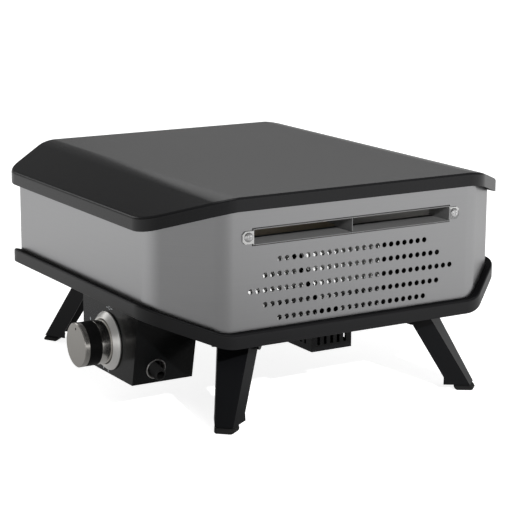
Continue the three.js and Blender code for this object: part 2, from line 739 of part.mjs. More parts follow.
// Folded sheet close behind the perforations, with a leaning gap for the flame sensor and igniter
function rearBaffle() {
  const y = REAR_Y - WRAP_SHEET - BAFFLE_FROM_REAR;
  const z = TRAY_Z + CLEARANCE;
  const t = LINER_SHEET;
  const top = z + BAFFLE_HEIGHT;
  const end = FLAT_HALF - BAFFLE_SIDE_MARGIN;
  const sheet = prismX([
    [y - BAFFLE_FOOT, z], [y, z], [y, top], [y - t, top], [y - t, z + t], [y - BAFFLE_FOOT, z + t],
  ], end - BAFFLE_LENGTH, end);
  const foot = end - BAFFLE_GAP_FROM_END;
  const head = foot + BAFFLE_GAP_LEAN;
  const half = BAFFLE_GAP_WIDTH / 2;
  const sill = z + BAFFLE_GAP_SILL;
  const gap = prismY([
    [foot - half, sill], [foot + half, sill], [head + half, top + t], [head - half, top + t],
  ], y - 2 * t, y + t);
  const window = block(foot + half - BAFFLE_WINDOW_WIDTH, foot + half, y - 2 * t, y + t,
    sill, sill + BAFFLE_WINDOW_HEIGHT);
  return cut(sheet, gap, window);
}

function gasPipe() {
  const start = BOX_OUTER_X - VALVE_SETBACK - VALVE_LENGTH - CLEARANCE;
  const path = bentPath([
    new THREE.Vector3(start, KNOB_Y, PIPE_Z),
    new THREE.Vector3(0, KNOB_Y, PIPE_Z),
    new THREE.Vector3(0, COVER_FRONT_Y + INJECTOR_GAP - CLEARANCE, PIPE_Z),
  ], PIPE_BEND);
  return rod(path, PIPE_RADIUS, 8, 16, PIPE_BORE);
}

function injector() {
  const y = COVER_FRONT_Y + INJECTOR_GAP;
  const hexLength = INJECTOR_LENGTH * 0.45;
  const hex = prismY(circlePoints(6.4, 6, 0, PIPE_Z), y, y + hexLength);
  const nozzle = turnedY([
    [0, 0], [0, 3.6], [INJECTOR_LENGTH * 0.35, 3.6], [INJECTOR_LENGTH * 0.55, 2], [INJECTOR_LENGTH * 0.55, 0],
  ], 12).translate(0, y + hexLength - 0.01, PIPE_Z);
  const bore = turnedY([[-1, 0], [-1, 0.8], [INJECTOR_LENGTH + 1, 0.8], [INJECTOR_LENGTH + 1, 0]], 8);
  return cut(joined(hex, nozzle), bore.translate(0, y, PIPE_Z));
}

function airCover() {
  const w = COVER_WIDTH / 2;
  const t = COVER_SHEET;
  const top = TRAY_Z - PAN_SHEET - CLEARANCE;
  const shell = block(-w, w, COVER_FRONT_Y, COVER_REAR_Y, COVER_BOTTOM, top);
  const hollow = block(-w + t, w - t, COVER_FRONT_Y + t, COVER_REAR_Y - t, COVER_BOTTOM + t, top + 5);
  const low = COVER_BOTTOM + COVER_SLOT_BASE;
  const slots = [];
  for (let i = 0; i < COVER_REAR_SLOTS; i += 1) {
    const x = (i - (COVER_REAR_SLOTS - 1) / 2) * COVER_SLOT_PITCH;
    slots.push(block(x - COVER_SLOT_WIDTH / 2, x + COVER_SLOT_WIDTH / 2,
      COVER_REAR_Y - 3, COVER_REAR_Y + 3, low, low + COVER_SLOT_HEIGHT));
  }
  for (let i = 0; i < COVER_SIDE_SLOTS; i += 1) {
    const y = COVER_FRONT_Y + COVER_LENGTH / 2 + (i - (COVER_SIDE_SLOTS - 1) / 2) * COVER_SLOT_PITCH;
    slots.push(block(-w - 3, w + 3, y - COVER_SLOT_WIDTH / 2, y + COVER_SLOT_WIDTH / 2,
      low, low + COVER_SLOT_HEIGHT));
  }
  const pipeHole = turnedY([[-3, 0], [-3, PIPE_RADIUS + 1], [3, PIPE_RADIUS + 1], [3, 0]], 16);
  return cut(shell, hollow, pipeHole.translate(0, COVER_FRONT_Y, PIPE_Z), ...slots);
}

// Igniter

function electrodeY() {
  return BURNER_Y + BURNER_RADIUS + ELECTRODE_RADIUS + 4;
}

function electrode() {
  const r = ELECTRODE_RADIUS;
  const foot = trayHeight(ELECTRODE_X) + 4;
  const top = BURNER_Z + 4;
  const body = new THREE.LatheGeometry([
    new THREE.Vector2(0, foot), new THREE.Vector2(r, foot), new THREE.Vector2(r, FLOOR_Z + 4),
    new THREE.Vector2(r + 2, FLOOR_Z + 4), new THREE.Vector2(r + 2, FLOOR_Z + 9),
    new THREE.Vector2(r, FLOOR_Z + 9), new THREE.Vector2(r, top - 1), new THREE.Vector2(r - 1, top),
    new THREE.Vector2(0, top),
  ], 12).rotateX(Math.PI / 2).translate(ELECTRODE_X, electrodeY(), 0);
  const tip = rod(bentPath([
    new THREE.Vector3(ELECTRODE_X, electrodeY(), top - 2),
    new THREE.Vector3(ELECTRODE_X, electrodeY(), BURNER_Z + BURNER_RADIUS + 5),
    new THREE.Vector3(ELECTRODE_X, BURNER_Y + 3, BURNER_Z + BURNER_RADIUS + 4),
  ], 3), 0.9, 6, 10);
  return surface(joined(body, tip));
}

function igniterLead() {
  const startX = ELECTRODE_X + ELECTRODE_RADIUS + CLEARANCE;
  const startY = electrodeY();
  const between = (share, bow) => {
    const x = startX + (LEAD_HOLE.x - startX) * share;
    const y = startY + (LEAD_HOLE.y - startY) * share + bow;
    return new THREE.Vector3(x, y, trayHeight(x) + LEAD_LIFT);
  };
  const holeZ = trayHeight(LEAD_HOLE.x);
  const end = KNOB_HEIGHT + VALVE_SIZE / 2 + CLEARANCE;
  const endX = BOX_OUTER_X - VALVE_SETBACK - VALVE_LENGTH / 2 - VALVE_BORE / 2;
  const endY = KNOB_Y + VALVE_SIZE / 4;
  const bow = ELECTRODE_RADIUS + LEAD_LIFT;
  const path = new THREE.CatmullRomCurve3([
    between(0, 0), between(0.25, bow), between(0.5, 2 * bow), between(0.75, bow),
    between(0.95, LEAD_RADIUS),
    new THREE.Vector3(LEAD_HOLE.x, LEAD_HOLE.y, holeZ - LEAD_RADIUS),
    new THREE.Vector3(LEAD_HOLE.x, LEAD_HOLE.y - LEAD_LIFT, holeZ - PAN_SHEET - 2 * LEAD_LIFT),
    new THREE.Vector3(endX, endY, end + 2 * LEAD_LIFT),
    new THREE.Vector3(endX, endY, end),
  ]);
  return rod(path, LEAD_RADIUS, 6, 40);
}

// Control box, valve and knob

function boxRearAt(z) {
  return REAR_Y - BOX_FROM_REAR - BOX_TUCK * (BOX_BOTTOM + BOX_TUCK_HEIGHT - z) / BOX_TUCK_HEIGHT;
}

function controlBox() {
  const t = BOX_SHEET;
  const x0 = BOX_OUTER_X - BOX_WIDTH;
  const front = REAR_Y - BOX_FROM_REAR - BOX_LENGTH;
  const high = LID_Z;
  const shell = prismX([
    [front, BOX_BOTTOM], [boxRearAt(BOX_BOTTOM), BOX_BOTTOM], [boxRearAt(high), high], [front, high],
  ], x0, BOX_OUTER_X);
  const hollow = prismX([
    [front + t, BOX_BOTTOM + t], [boxRearAt(BOX_BOTTOM + t) - t, BOX_BOTTOM + t],
    [boxRearAt(high + 5) - t, high + 5], [front + t, high + 5],
  ], x0 + t, BOX_OUTER_X - t);
  const roof = [[-HALF_WIDTH, 0], [HALF_WIDTH + 20, 0]];
  for (let i = 0; i <= 12; i += 1) {
    const x = HALF_WIDTH + 20 - i * 8;
    roof.push([x, trayHeight(x) - PAN_SHEET - CLEARANCE]);
  }
  roof.push([-HALF_WIDTH, TRAY_Z - PAN_SHEET - CLEARANCE]);
  const below = solid(prismY(roof, FRONT_Y, REAR_Y));
  const stemHole = turnedX([[-5, 0], [-5, 7], [5, 7], [5, 0]], 16);
  const pipeHole = turnedX([[-5, 0], [-5, PIPE_RADIUS + 1], [5, PIPE_RADIUS + 1], [5, 0]], 16);
  const inletHole = turnedY([[-20, 0], [-20, INLET_HOLE / 2], [20, INLET_HOLE / 2], [20, 0]], 24);
  const shaped = solid(shell).intersect(below);
  return cut(shaped, hollow,
    stemHole.translate(BOX_OUTER_X, KNOB_Y, KNOB_HEIGHT),
    pipeHole.translate(x0, KNOB_Y, PIPE_Z),
    inletHole.translate(INLET_X, boxRearAt(INLET_HEIGHT), INLET_HEIGHT));
}

function bezel() {
  const outer = BEZEL_DIAMETER / 2;
  const bore = BEZEL_BORE / 2;
  const foot = CLEARANCE;
  return turnedX([
    [foot, bore], [foot, outer], [foot + 1.6, outer], [BEZEL_HEIGHT, bore + 1],
    [BEZEL_HEIGHT, bore], [foot, bore],
  ], 36);
}

function knobSkirt() {
  const end = KNOB_REACH - KNOB_CAP_THICKNESS - KNOB_GRIP_LENGTH;
  const start = end - KNOB_SKIRT_LENGTH;
  const outer = KNOB_SKIRT_DIAMETER / 2;
  const wall = 2;
  const hub = KNOB_HUB_DIAMETER / 2 + CLEARANCE;
  return turnedX([
    [start, outer - wall], [start, outer], [end - 0.8, outer], [end, outer - 0.8], [end, hub],
    [end - wall, hub], [end - wall, outer - wall], [start, outer - wall],
  ], 32);
}

function knobGrip() {
  const end = KNOB_REACH - KNOB_CAP_THICKNESS;
  const start = end - KNOB_GRIP_LENGTH + CLEARANCE;
  const outer = KNOB_GRIP_DIAMETER / 2;
  const hub = KNOB_HUB_DIAMETER / 2;
  const hubStart = start - KNOB_SKIRT_LENGTH + 2;
  const bore = STEM_DIAMETER / 2 + CLEARANCE;
  return turnedX([
    [hubStart, bore], [hubStart, hub], [start, hub], [start, outer - 0.6], [start + 0.6, outer],
    [end - 0.6, outer], [end, outer - 0.6], [end, 0], [end - 6, 0], [end - 6, bore], [hubStart, bore],
  ], 32);
}

function knobCap() {
  const start = KNOB_REACH - KNOB_CAP_THICKNESS + CLEARANCE;
  const outer = KNOB_CAP_DIAMETER / 2;
  return turnedX([
    [start, 0], [start, outer - 0.5], [start + 0.5, outer], [KNOB_REACH - 1, outer],
    [KNOB_REACH, outer - 1], [KNOB_REACH, 0],
  ], 32);
}

function valveStem() {
  const start = PLUG_NECK - VALVE_SETBACK - STEM_INSERTION;
  const end = KNOB_REACH - KNOB_CAP_THICKNESS - 6 - CLEARANCE;
  const r = STEM_DIAMETER / 2;
  const stem = turnedX([[start, 0], [start, r], [end - 1, r], [end, r - 1], [end, 0]], 16);
  return cut(stem, block(end - 14, end + 1, -r, r, r - 1.2, r + 2));
}

// Plug that turns with the stem; its neck reaches out of the valve and the stem slides in its socket
function valvePlug() {
  const shoulder = -PLUG_SETBACK;
  const start = shoulder - PLUG_LENGTH;
  const end = PLUG_NECK - VALVE_SETBACK;
  const r = VALVE_BORE / 2 - RUNNING_FIT;
  const neck = PLUG_NECK_DIAMETER / 2;
  const socket = STEM_DIAMETER / 2 + RUNNING_FIT;
  const depth = end - STEM_INSERTION - PUSH_TRAVEL - CLEARANCE;
  return turnedX([
    [start, 0], [start, r - 1], [start + 1, r], [shoulder, r], [shoulder, neck],
    [end, neck], [end, socket], [depth, socket], [depth, 0],
  ], 24);
}

function gasValve() {
  const half = VALVE_SIZE / 2;
  const front = -VALVE_SETBACK;
  const back = front - VALVE_LENGTH;
  const inletX = INLET_X - BOX_OUTER_X;
  const drop = INLET_HEIGHT - KNOB_HEIGHT;
  const bossHalf = VALVE_BOSS / 2;
  const body = joined(
    prismX([
      [-half + 3, -half], [half - 3, -half], [half, -half + 3], [half, half - 3],
      [half - 3, half], [-half + 3, half], [-half, half - 3], [-half, -half + 3],
    ], back, front),
    block(inletX - bossHalf, inletX + bossHalf, -bossHalf, bossHalf, drop - bossHalf, 0));
  const r = VALVE_BORE / 2;
  const depth = -PLUG_SETBACK - PLUG_LENGTH - CLEARANCE;
  const bore = turnedX([[depth, 0], [depth, r], [front + 1, r], [front + 1, 0]], 24);
  const outlet = turnedX([[back - 1, 0], [back - 1, PIPE_BORE], [depth + 1, PIPE_BORE], [depth + 1, 0]], 10);
  return cut(body, bore, outlet);
}

function inletFitting() {
  const y1 = boxRearAt(INLET_HEIGHT) + INLET_REACH;
  const y0 = KNOB_Y + VALVE_BOSS / 2 + CLEARANCE;
  const hexEnd = boxRearAt(INLET_HEIGHT) - FITTING_HEX_SETBACK;
  const hexStart = hexEnd - FITTING_HEX_LENGTH;
  const r = FITTING_RADIUS;
  const neck = FITTING_NECK_RADIUS;
  const tube = turnedY([
    [y0, 0], [y0, neck], [hexStart - 1, neck], [hexStart - 1, neck + 1], [hexEnd, neck + 1],
    [hexEnd, r - 0.8], [hexEnd + 1, r], [y1 - 1, r], [y1, r - 1], [y1, 0],
  ], 20);
  const hex = prismY(circlePoints(FITTING_HEX_RADIUS, 6), hexStart, hexEnd);
  const end = y1 - FITTING_BORE_DEPTH;
  const bore = turnedY([[end, 0], [end, 3], [y1 + 1, 3.6], [y1 + 1, 0]], 12);
  return cut(joined(tube, hex), bore).translate(INLET_X, 0, INLET_HEIGHT);
}

// Dished collar in the inlet hole, square to the leaning rear face
function inletCollar() {
  const outer = INLET_HOLE / 2 - 2 * CLEARANCE;
  const lip = outer + 1.4;
  const seat = CLEARANCE;
  const face = seat + COLLAR_FLANGE;
  const collar = turnedY([
    [-COLLAR_DEPTH, outer - 1.2], [-COLLAR_DEPTH, outer], [seat, outer], [seat, lip], [face - 0.3, lip],
    [face, lip - 0.3], [face, outer + 0.4], [-COLLAR_DEPTH, outer - 1.2],
  ], 32);
  const lean = Math.atan(BOX_TUCK / BOX_TUCK_HEIGHT);
  return collar.rotateX(-lean).translate(INLET_X, boxRearAt(INLET_HEIGHT), INLET_HEIGHT);
}

// Legs: built hanging from the pivot, web outward along X, then splayed

function legWebHalf(z) {
  const reach = legLength();
  return LEG_TOP_WIDTH / 2 + (LEG_TOP_WIDTH - LEG_FOOT_WIDTH) / 2 * z / reach;
}

function legLength() {
  const splay = radians(LEG_SPLAY);
  return (LEG_PIVOT_HEIGHT + LEG_WEB_OFFSET * Math.sin(splay)) / Math.cos(splay);
}

// Place of a point of the leg in the plane across its hinge, once the leg is splayed
function splayedPoint(across, along) {
  const splay = radians(LEG_SPLAY);
  return [
    across * Math.cos(splay) - along * Math.sin(splay),
    across * Math.sin(splay) + along * Math.cos(splay),
  ];
}

// Trapezoid section of the leg at height z, its web at webX and its open edges at openX
function legSection(z, webX, openX, inset) {
  const flare = Math.tan(radians(LEG_FLARE));
  const half = legWebHalf(z) - inset / Math.cos(radians(LEG_FLARE));
  const atWeb = half + (LEG_WEB_OFFSET - webX) * flare;
  const atOpen = half + (LEG_WEB_OFFSET - openX) * flare;
  return [[webX, -atWeb, z], [webX, atWeb, z], [openX, atOpen, z], [openX, -atOpen, z]];
}

// Closed body through four-cornered sections, listed from the top down
function sectionLoft(sections) {
  const positions = sections.flat(2);
  const index = [];
  for (let s = 0; s < sections.length - 1; s += 1) {
    const a = 4 * s;
    const b = a + 4;
    for (let i = 0; i < 4; i += 1) {
      const j = (i + 1) % 4;
      index.push(a + i, b + i, b + j, a + i, b + j, a + j);
    }
  }
  const last = 4 * (sections.length - 1);
  index.push(0, 1, 2, 0, 2, 3, last, last + 2, last + 1, last, last + 3, last + 2);
  const geometry = new THREE.BufferGeometry();
  geometry.setAttribute('position', new THREE.Float32BufferAttribute(positions, 3));
  geometry.setIndex(index);
  return geometry;
}

function legChannel() {
  const open = LEG_WEB_OFFSET - LEG_DEPTH;
  const splay = radians(LEG_SPLAY);
  const fromGround = (height) => height - LEG_PIVOT_HEIGHT;
  const z1 = (fromGround(LEG_HEEL_HEIGHT) - open * Math.sin(splay)) / Math.cos(splay);
  const z2 = z1 - LEG_HEEL / Math.tan(splay);
  const end = -legLength() - LEG_WEB_OFFSET;
  const outer = sectionLoft([
    legSection(LEG_HEAD_RADIUS, LEG_WEB_OFFSET, open, 0),
    legSection(z1, LEG_WEB_OFFSET, open, 0),
    legSection(z2, LEG_WEB_OFFSET, open - LEG_HEEL, 0),
    legSection(end, LEG_WEB_OFFSET, open - LEG_HEEL, 0),
  ]);
  const innerWeb = LEG_WEB_OFFSET - LEG_SHEET;
  const inner = sectionLoft([
    legSection(LEG_HEAD_RADIUS + OVERCUT, innerWeb, open - OVERCUT, LEG_SHEET),
    legSection(end - OVERCUT, innerWeb, open - OVERCUT, LEG_SHEET),
  ]);
  const wide = 2 * LEG_TOP_WIDTH;
  const disc = turnedY([
    [-wide, 0], [-wide, LEG_HEAD_RADIUS], [wide, LEG_HEAD_RADIUS], [wide, 0],
  ], 32);
  const head = cut(disc, block(innerWeb - CLEARANCE, wide, -2 * wide, 2 * wide, 0, wide));
  const below = block(-wide, wide, -wide, wide, 2 * end, 0);
  const hole = turnedY([[-wide, 0], [-wide, PIN_RADIUS + RUNNING_FIT], [wide, PIN_RADIUS + RUNNING_FIT], [wide, 0]], 16);
  const kept = solid(outer).subtract(solid(inner)).intersect(joined(head, below)).subtract(solid(hole));
  const splayed = surface(kept).rotateY(-splay);
  const ground = block(2 * end, -2 * end, -wide, wide, 3 * end, fromGround(FOOT_SOLE));
  return cut(splayed, ground);
}

function footPad() {
  const splay = radians(LEG_SPLAY);
  const slope = Math.tan(splay);
  const ground = -LEG_PIVOT_HEIGHT;
  const webAtGround = LEG_WEB_OFFSET / Math.cos(splay) + LEG_PIVOT_HEIGHT * slope;
  const plugFace = webAtGround - (LEG_SHEET + CLEARANCE) / Math.cos(splay);
  const half = LEG_FOOT_WIDTH / 2;
  const plugHalf = half - (LEG_SHEET + CLEARANCE) / Math.cos(radians(LEG_FLARE));
  const at = (face, height) => face - height * slope;
  const soleTop = FOOT_SOLE - CLEARANCE;
  const rectangle = (x0, x1, h, z) => [[x1, -h, z], [x1, h, z], [x0, h, z], [x0, -h, z]];
  const plug = sectionLoft([
    rectangle(at(plugFace, FOOT_PLUG) - FOOT_LENGTH, at(plugFace, FOOT_PLUG), plugHalf, ground + FOOT_PLUG),
    rectangle(at(plugFace, soleTop) - FOOT_LENGTH, at(plugFace, soleTop), plugHalf, ground + soleTop - 0.5),
  ]);
  const soleEnd = at(webAtGround, soleTop);
  const soleStart = soleEnd - LEG_DEPTH + FOOT_HEEL_MARGIN;
  const steps = [0, 0.2, 0.4, 0.6, 0.8, 1].map((share) => {
    const height = soleTop * (1 - share);
    const inset = FOOT_INSET * (1 - Math.sqrt(1 - share * share));
    return rectangle(soleStart + inset, soleEnd - inset, half - inset, ground + height);
  });
  return surface(joined(plug, sectionLoft(steps)));
}

function hingePin() {
  const flange = legWebHalf(0) + LEG_WEB_OFFSET * Math.tan(radians(LEG_FLARE));
  const seat = flange + PIN_HEAD_RADIUS * Math.tan(radians(LEG_FLARE)) + CLEARANCE;
  const tip = seat + PIN_HEAD_THICKNESS;
  const r = PIN_RADIUS;
  const h = PIN_HEAD_RADIUS;
  return turnedY([
    [-tip, 0], [-tip, h - 0.5], [-tip + 0.5, h], [-seat, h], [-seat, r], [seat, r], [seat, h],
    [tip - 0.5, h], [tip, h - 0.5], [tip, 0],
  ], 16);
}

function legBracket() {
  const top = TRAY_Z - PAN_SHEET - CLEARANCE - LEG_PIVOT_HEIGHT;
  const half = BRACKET_WIDTH / 2;
  const t = BRACKET_SHEET;
  const webFace = LEG_WEB_OFFSET - LEG_SHEET - CLEARANCE;
  const stop = splayedPoint(LEG_WEB_OFFSET + 1, CLEARANCE);
  const profile = [
    [-BRACKET_REACH, top], [-BRACKET_REACH, top - 6], [-14, 0.5], [-8, -3.5], [-4, -7], [3, -7], [7, -3.5],
    splayedPoint(webFace - 3, -3), splayedPoint(webFace, CLEARANCE), stop, [stop[0] + 1, top],
  ];
  const shell = prismY(profile, -half, half);
  const far = 2 * BRACKET_REACH;
  const hollow = block(-far, far, -half + t, half - t, -far, top - t);
  const hole = turnedY([[-far, 0], [-far, PIN_RADIUS + RUNNING_FIT], [far, PIN_RADIUS + RUNNING_FIT], [far, 0]], 16);
  return cut(shell, hollow, hole);
}

// Finishes

function finish(color, roughness, metalness) {
  return new THREE.MeshStandardMaterial({ color, roughness, metalness });
}

const blackCoat = finish(0x2b2b2d, 0.42, 0.1);
const brushedSteel = finish(0x9b9b99, 0.38, 1);
const linerSteel = finish(0x8f8e8a, 0.5, 1);
const zinc = finish(0xc8c8c6, 0.3, 1);
const blackPlastic = finish(0x141414, 0.35, 0);
const polished = finish(0xd8d6d2, 0.12, 1);
const rubber = finish(0x1a1a1b, 0.85, 0);
const stoneware = finish(0xcdbd9f, 0.9, 0);
const brass = finish(0xb89352, 0.35, 1);
const ceramic = finish(0xe8e4da, 0.4, 0);
const darkSteel = finish(0x55534f, 0.55, 1);

// Assembly

const oven = new THREE.Group();

function place(parent, name, geometry, material, x = 0, y = 0, z = 0) {
  const mesh = new THREE.Mesh(geometry, material);
  mesh.name = name;
  mesh.position.set(x, y, z);
  parent.add(mesh);
  return mesh;
}

place(oven, 'lid_shell', lidShell(), blackCoat);
place(oven, 'body_wrap', bodyWrap(), brushedSteel);
place(oven, 'base_tray', baseTray(), blackCoat);
place(oven, 'mouth_frame', mouthFrame(), blackCoat);
place(oven, 'flue_duct', flueDuct(), zinc);
place(oven, 'flue_divider', flueDivider(), zinc);
flueScrewPlaces().forEach(([x, z]) => {
  place(oven, x > 0 ? 'flue_screw_right' : 'flue_screw_left', flueScrew(), zinc, x, REAR_Y, z);
});

place(oven, 'roof_liner', roofLiner(), linerSteel);
place(oven, 'liner_wall', linerWall(), linerSteel);
place(oven, 'floor_pan', floorPan(), linerSteel);
const railX = HALF_WIDTH - RAIL_SIDE_MARGIN;
place(oven, 'stone_rail_left', stoneRail(-railX), linerSteel);
place(oven, 'stone_rail_right', stoneRail(railX), linerSteel);
place(oven, 'pizza_stone', stone(), stoneware);

place(oven, 'burner', burner(), linerSteel);
const bracketSpan = BURNER_LENGTH / 2 - BURNER_BRACKET_INSET;
place(oven, 'burner_bracket_right', burnerBracket(), linerSteel, bracketSpan, BURNER_Y, 0);
const bracketLeft = place(oven, 'burner_bracket_left', burnerBracket(), linerSteel, -bracketSpan, BURNER_Y, 0);
bracketLeft.rotation.z = Math.PI;
place(oven, 'flame_guard', flameGuard(), darkSteel);
place(oven, 'rear_baffle', rearBaffle(), linerSteel);
place(oven, 'gas_pipe', gasPipe(), darkSteel);
place(oven, 'injector', injector(), brass);
place(oven, 'air_cover', airCover(), blackCoat);
place(oven, 'igniter_electrode', electrode(), ceramic);
place(oven, 'igniter_lead', igniterLead(), blackPlastic);

place(oven, 'control_box', controlBox(), blackCoat);
place(oven, 'inlet_fitting', inletFitting(), darkSteel);
place(oven, 'inlet_collar', inletCollar(), darkSteel);

const dial = new THREE.Group();
dial.position.set(BOX_OUTER_X, KNOB_Y, KNOB_HEIGHT);
oven.add(dial);
place(dial, 'gas_valve', gasValve(), brass);
place(dial, 'valve_plug', valvePlug(), brass);
place(dial, 'valve_stem', valveStem(), darkSteel);
place(dial, 'knob_bezel', bezel(), zinc);
place(dial, 'knob_skirt', knobSkirt(), polished);
place(dial, 'knob_grip', knobGrip(), blackPlastic);
place(dial, 'knob_cap', knobCap(), zinc);

const corners = [
  ['rear_right', 1, 1], ['rear_left', -1, 1], ['front_left', -1, -1], ['front_right', 1, -1],
];
for (const [corner, sideX, sideY] of corners) {
  const hinge = new THREE.Group();
  const turn = radians(LEG_AZIMUTH);
  hinge.position.set(sideX * LEG_X, sideY > 0 ? LEG_REAR_Y : LEG_FRONT_Y, LEG_PIVOT_HEIGHT);
  hinge.rotation.z = Math.atan2(sideY * Math.sin(turn), sideX * Math.cos(turn));
  oven.add(hinge);
  place(hinge, `leg_${corner}`, legChannel(), blackCoat);
  place(hinge, `foot_pad_${corner}`, footPad(), rubber);
  place(hinge, `leg_bracket_${corner}`, legBracket(), darkSteel);
  place(hinge, `hinge_pin_${corner}`, hingePin(), zinc);
}

const knobEnd = BOX_OUTER_X + KNOB_REACH;
const farEdge = HALF_WIDTH + LID_OVERHANG;
oven.position.x = -(knobEnd - farEdge) / 2;
oven.position.y = -(LEG_REAR_Y + LEG_FRONT_Y) / 2;
oven.updateMatrixWorld(true);

export default oven;
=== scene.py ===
import math
import bmesh
import bpy
from mathutils import Matrix, Vector


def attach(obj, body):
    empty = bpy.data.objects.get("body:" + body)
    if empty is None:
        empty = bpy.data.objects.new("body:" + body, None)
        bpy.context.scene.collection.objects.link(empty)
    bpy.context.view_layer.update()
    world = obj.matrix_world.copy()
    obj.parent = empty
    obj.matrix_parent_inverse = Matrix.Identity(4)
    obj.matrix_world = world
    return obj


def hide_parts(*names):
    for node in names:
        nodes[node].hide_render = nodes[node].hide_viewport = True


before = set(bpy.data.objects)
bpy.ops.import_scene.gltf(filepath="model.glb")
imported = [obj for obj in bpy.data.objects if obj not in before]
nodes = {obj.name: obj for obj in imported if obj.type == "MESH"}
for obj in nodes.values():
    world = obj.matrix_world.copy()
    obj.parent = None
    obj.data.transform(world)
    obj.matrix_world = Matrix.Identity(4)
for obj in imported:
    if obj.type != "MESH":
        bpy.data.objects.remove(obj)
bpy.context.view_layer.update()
scene = bpy.context.scene
scene.view_settings.view_transform = "Standard"


# Camera
# A long lens behind the oven on its control side, a little above the lid, with the photograph's own
# viewing angle and distance, worked out from the straight edges and the rows of perforations.
AZIMUTH = math.radians(148.91)
ELEVATION = math.radians(12.66)
ROLL = math.radians(0.26)
CAMERA_PLACE = (0.9830, 1.6649, 0.5597)
LENS_LENGTH = 125.9
SENSOR_WIDTH = 36

back = Vector((
    math.sin(AZIMUTH) * math.cos(ELEVATION), -math.cos(AZIMUTH) * math.cos(ELEVATION), math.sin(ELEVATION)))
right = Vector((math.cos(AZIMUTH), math.sin(AZIMUTH), 0))
up = back.cross(right)
camera_right = right * math.cos(ROLL) + up * math.sin(ROLL)
camera_up = up * math.cos(ROLL) - right * math.sin(ROLL)
camera_data = bpy.data.cameras.new("camera")
camera_data.lens = LENS_LENGTH
camera_data.sensor_width = SENSOR_WIDTH
camera = bpy.data.objects.new("camera", camera_data)
scene.collection.objects.link(camera)
camera.matrix_world = Matrix.Translation(CAMERA_PLACE) @ Matrix((
    camera_right, camera_up, back)).transposed().to_4x4()
scene.camera = camera


# Studio surround and floor
# A pale floor that runs out to white and a white surround, as the lens sees them. What coats and
# metals mirror is greyer: darkest towards the lens, bright near the horizon, dim higher up.
TOWARDS_LENS = (0.5165, 0.8563, 0)
# Tones from the far side of the oven, at 0, round to the lens, at 1
ROUND_TONES = ((0.0, 0.27), (0.27, 0.42), (0.62, 0.46), (0.80, 0.38), (0.98, 0.22))
NEAR_HORIZON_GAIN = 1.6
HIGH_GAIN = 0.5
GAIN_FALLS_AT = (0.13, 0.20)
# A low bright band on the lens side, which draws the light bands on the knob
BAND_TONES = ((0.0, 0.0), (0.04, 1.1), (0.10, 0.8), (0.17, 0.0))
BAND_STARTS_AT = (0.1, 0.5)
# Light from the surround: the front half gives all of it, the rear side a tenth
AMBIENT = 0.5
AMBIENT_BEHIND = AMBIENT / 10
AMBIENT_FADE = 0.6
FLOOR_HALF = 9
FLOOR_DROP = 0.0004
FLOOR_TONE = 0.8
FLOOR_ROUGHNESS = 0.9
FLOOR_SPECULAR = 0.1
FLOOR_GLOW = 0.86
# How brightly the floor is mirrored, at its near and far distances from the oven's middle; the
# dimmer near floor is a painted shadow of the oven, in what coats and metals mirror
FLOOR_NEAR, FLOOR_NEAR_GAIN = 0.3, 0.66
FLOOR_FAR, FLOOR_FAR_GAIN = 0.9, 1.32


def new_group(name, inputs, outputs):
    group = bpy.data.node_groups.new(name, "ShaderNodeTree")
    for label, kind, value in inputs:
        group.interface.new_socket(label, in_out="INPUT", socket_type=kind).default_value = value
    for label in outputs:
        group.interface.new_socket(label, in_out="OUTPUT", socket_type="NodeSocketFloat")
    return group, group.nodes.new("NodeGroupInput"), group.nodes.new("NodeGroupOutput")


def add_node(tree, kind, inputs=None, **settings):
    node = tree.nodes.new("ShaderNode" + kind)
    for setting, value in settings.items():
        setattr(node, setting, value)
    for socket, value in (inputs or {}).items():
        if isinstance(value, bpy.types.NodeSocket):
            tree.links.new(value, node.inputs[socket])
        else:
            node.inputs[socket].default_value = value
    return node


def add_ramp(tree, tones, fed_by):
    ramp = add_node(tree, "ValToRGB", {0: fed_by})
    stops = ramp.color_ramp.elements
    for place, tone in tones:
        stops.new(place).color = (tone, tone, tone, 1)
    stops.remove(stops[0])
    stops.remove(stops[-1])
    return ramp


tone_group, tone_in, tone_out = new_group(
    "studio_tone", (("Direction", "NodeSocketVector", (0, 0, 0)),), ("Tone",))
level = add_node(
    tone_group, "VectorMath", {0: tone_in.outputs["Direction"], 1: (1, 1, 0)}, operation="MULTIPLY")
level_way = add_node(tone_group, "VectorMath", {0: level.outputs[0]}, operation="NORMALIZE")
facing = add_node(
    tone_group, "VectorMath", {0: level_way.outputs[0], 1: TOWARDS_LENS}, operation="DOT_PRODUCT")
share = add_node(tone_group, "MapRange", {"Value": facing.outputs["Value"], "From Min": -1})
round_tone = add_ramp(tone_group, ROUND_TONES, share.outputs[0])
full_way = add_node(tone_group, "VectorMath", {0: tone_in.outputs["Direction"]}, operation="NORMALIZE")
rise = add_node(tone_group, "SeparateXYZ", {0: full_way.outputs[0]})
gain = add_node(tone_group, "MapRange", {
    "Value": rise.outputs["Z"], "From Min": GAIN_FALLS_AT[0], "From Max": GAIN_FALLS_AT[1],
    "To Min": NEAR_HORIZON_GAIN, "To Max": HIGH_GAIN}, interpolation_type="SMOOTHSTEP")
dimmed = add_node(tone_group, "Math", {0: round_tone.outputs[0], 1: gain.outputs[0]}, operation="MULTIPLY")
band = add_ramp(tone_group, BAND_TONES, rise.outputs["Z"])
lens_side = add_node(tone_group, "MapRange", {
    "Value": facing.outputs["Value"], "From Min": BAND_STARTS_AT[0], "From Max": BAND_STARTS_AT[1]},
    interpolation_type="SMOOTHSTEP")
lifted = add_node(
    tone_group, "Math", {0: band.outputs[0], 1: lens_side.outputs[0], 2: dimmed.outputs[0]},
    operation="MULTIPLY_ADD")
tone_group.links.new(lifted.outputs[0], tone_out.inputs["Tone"])

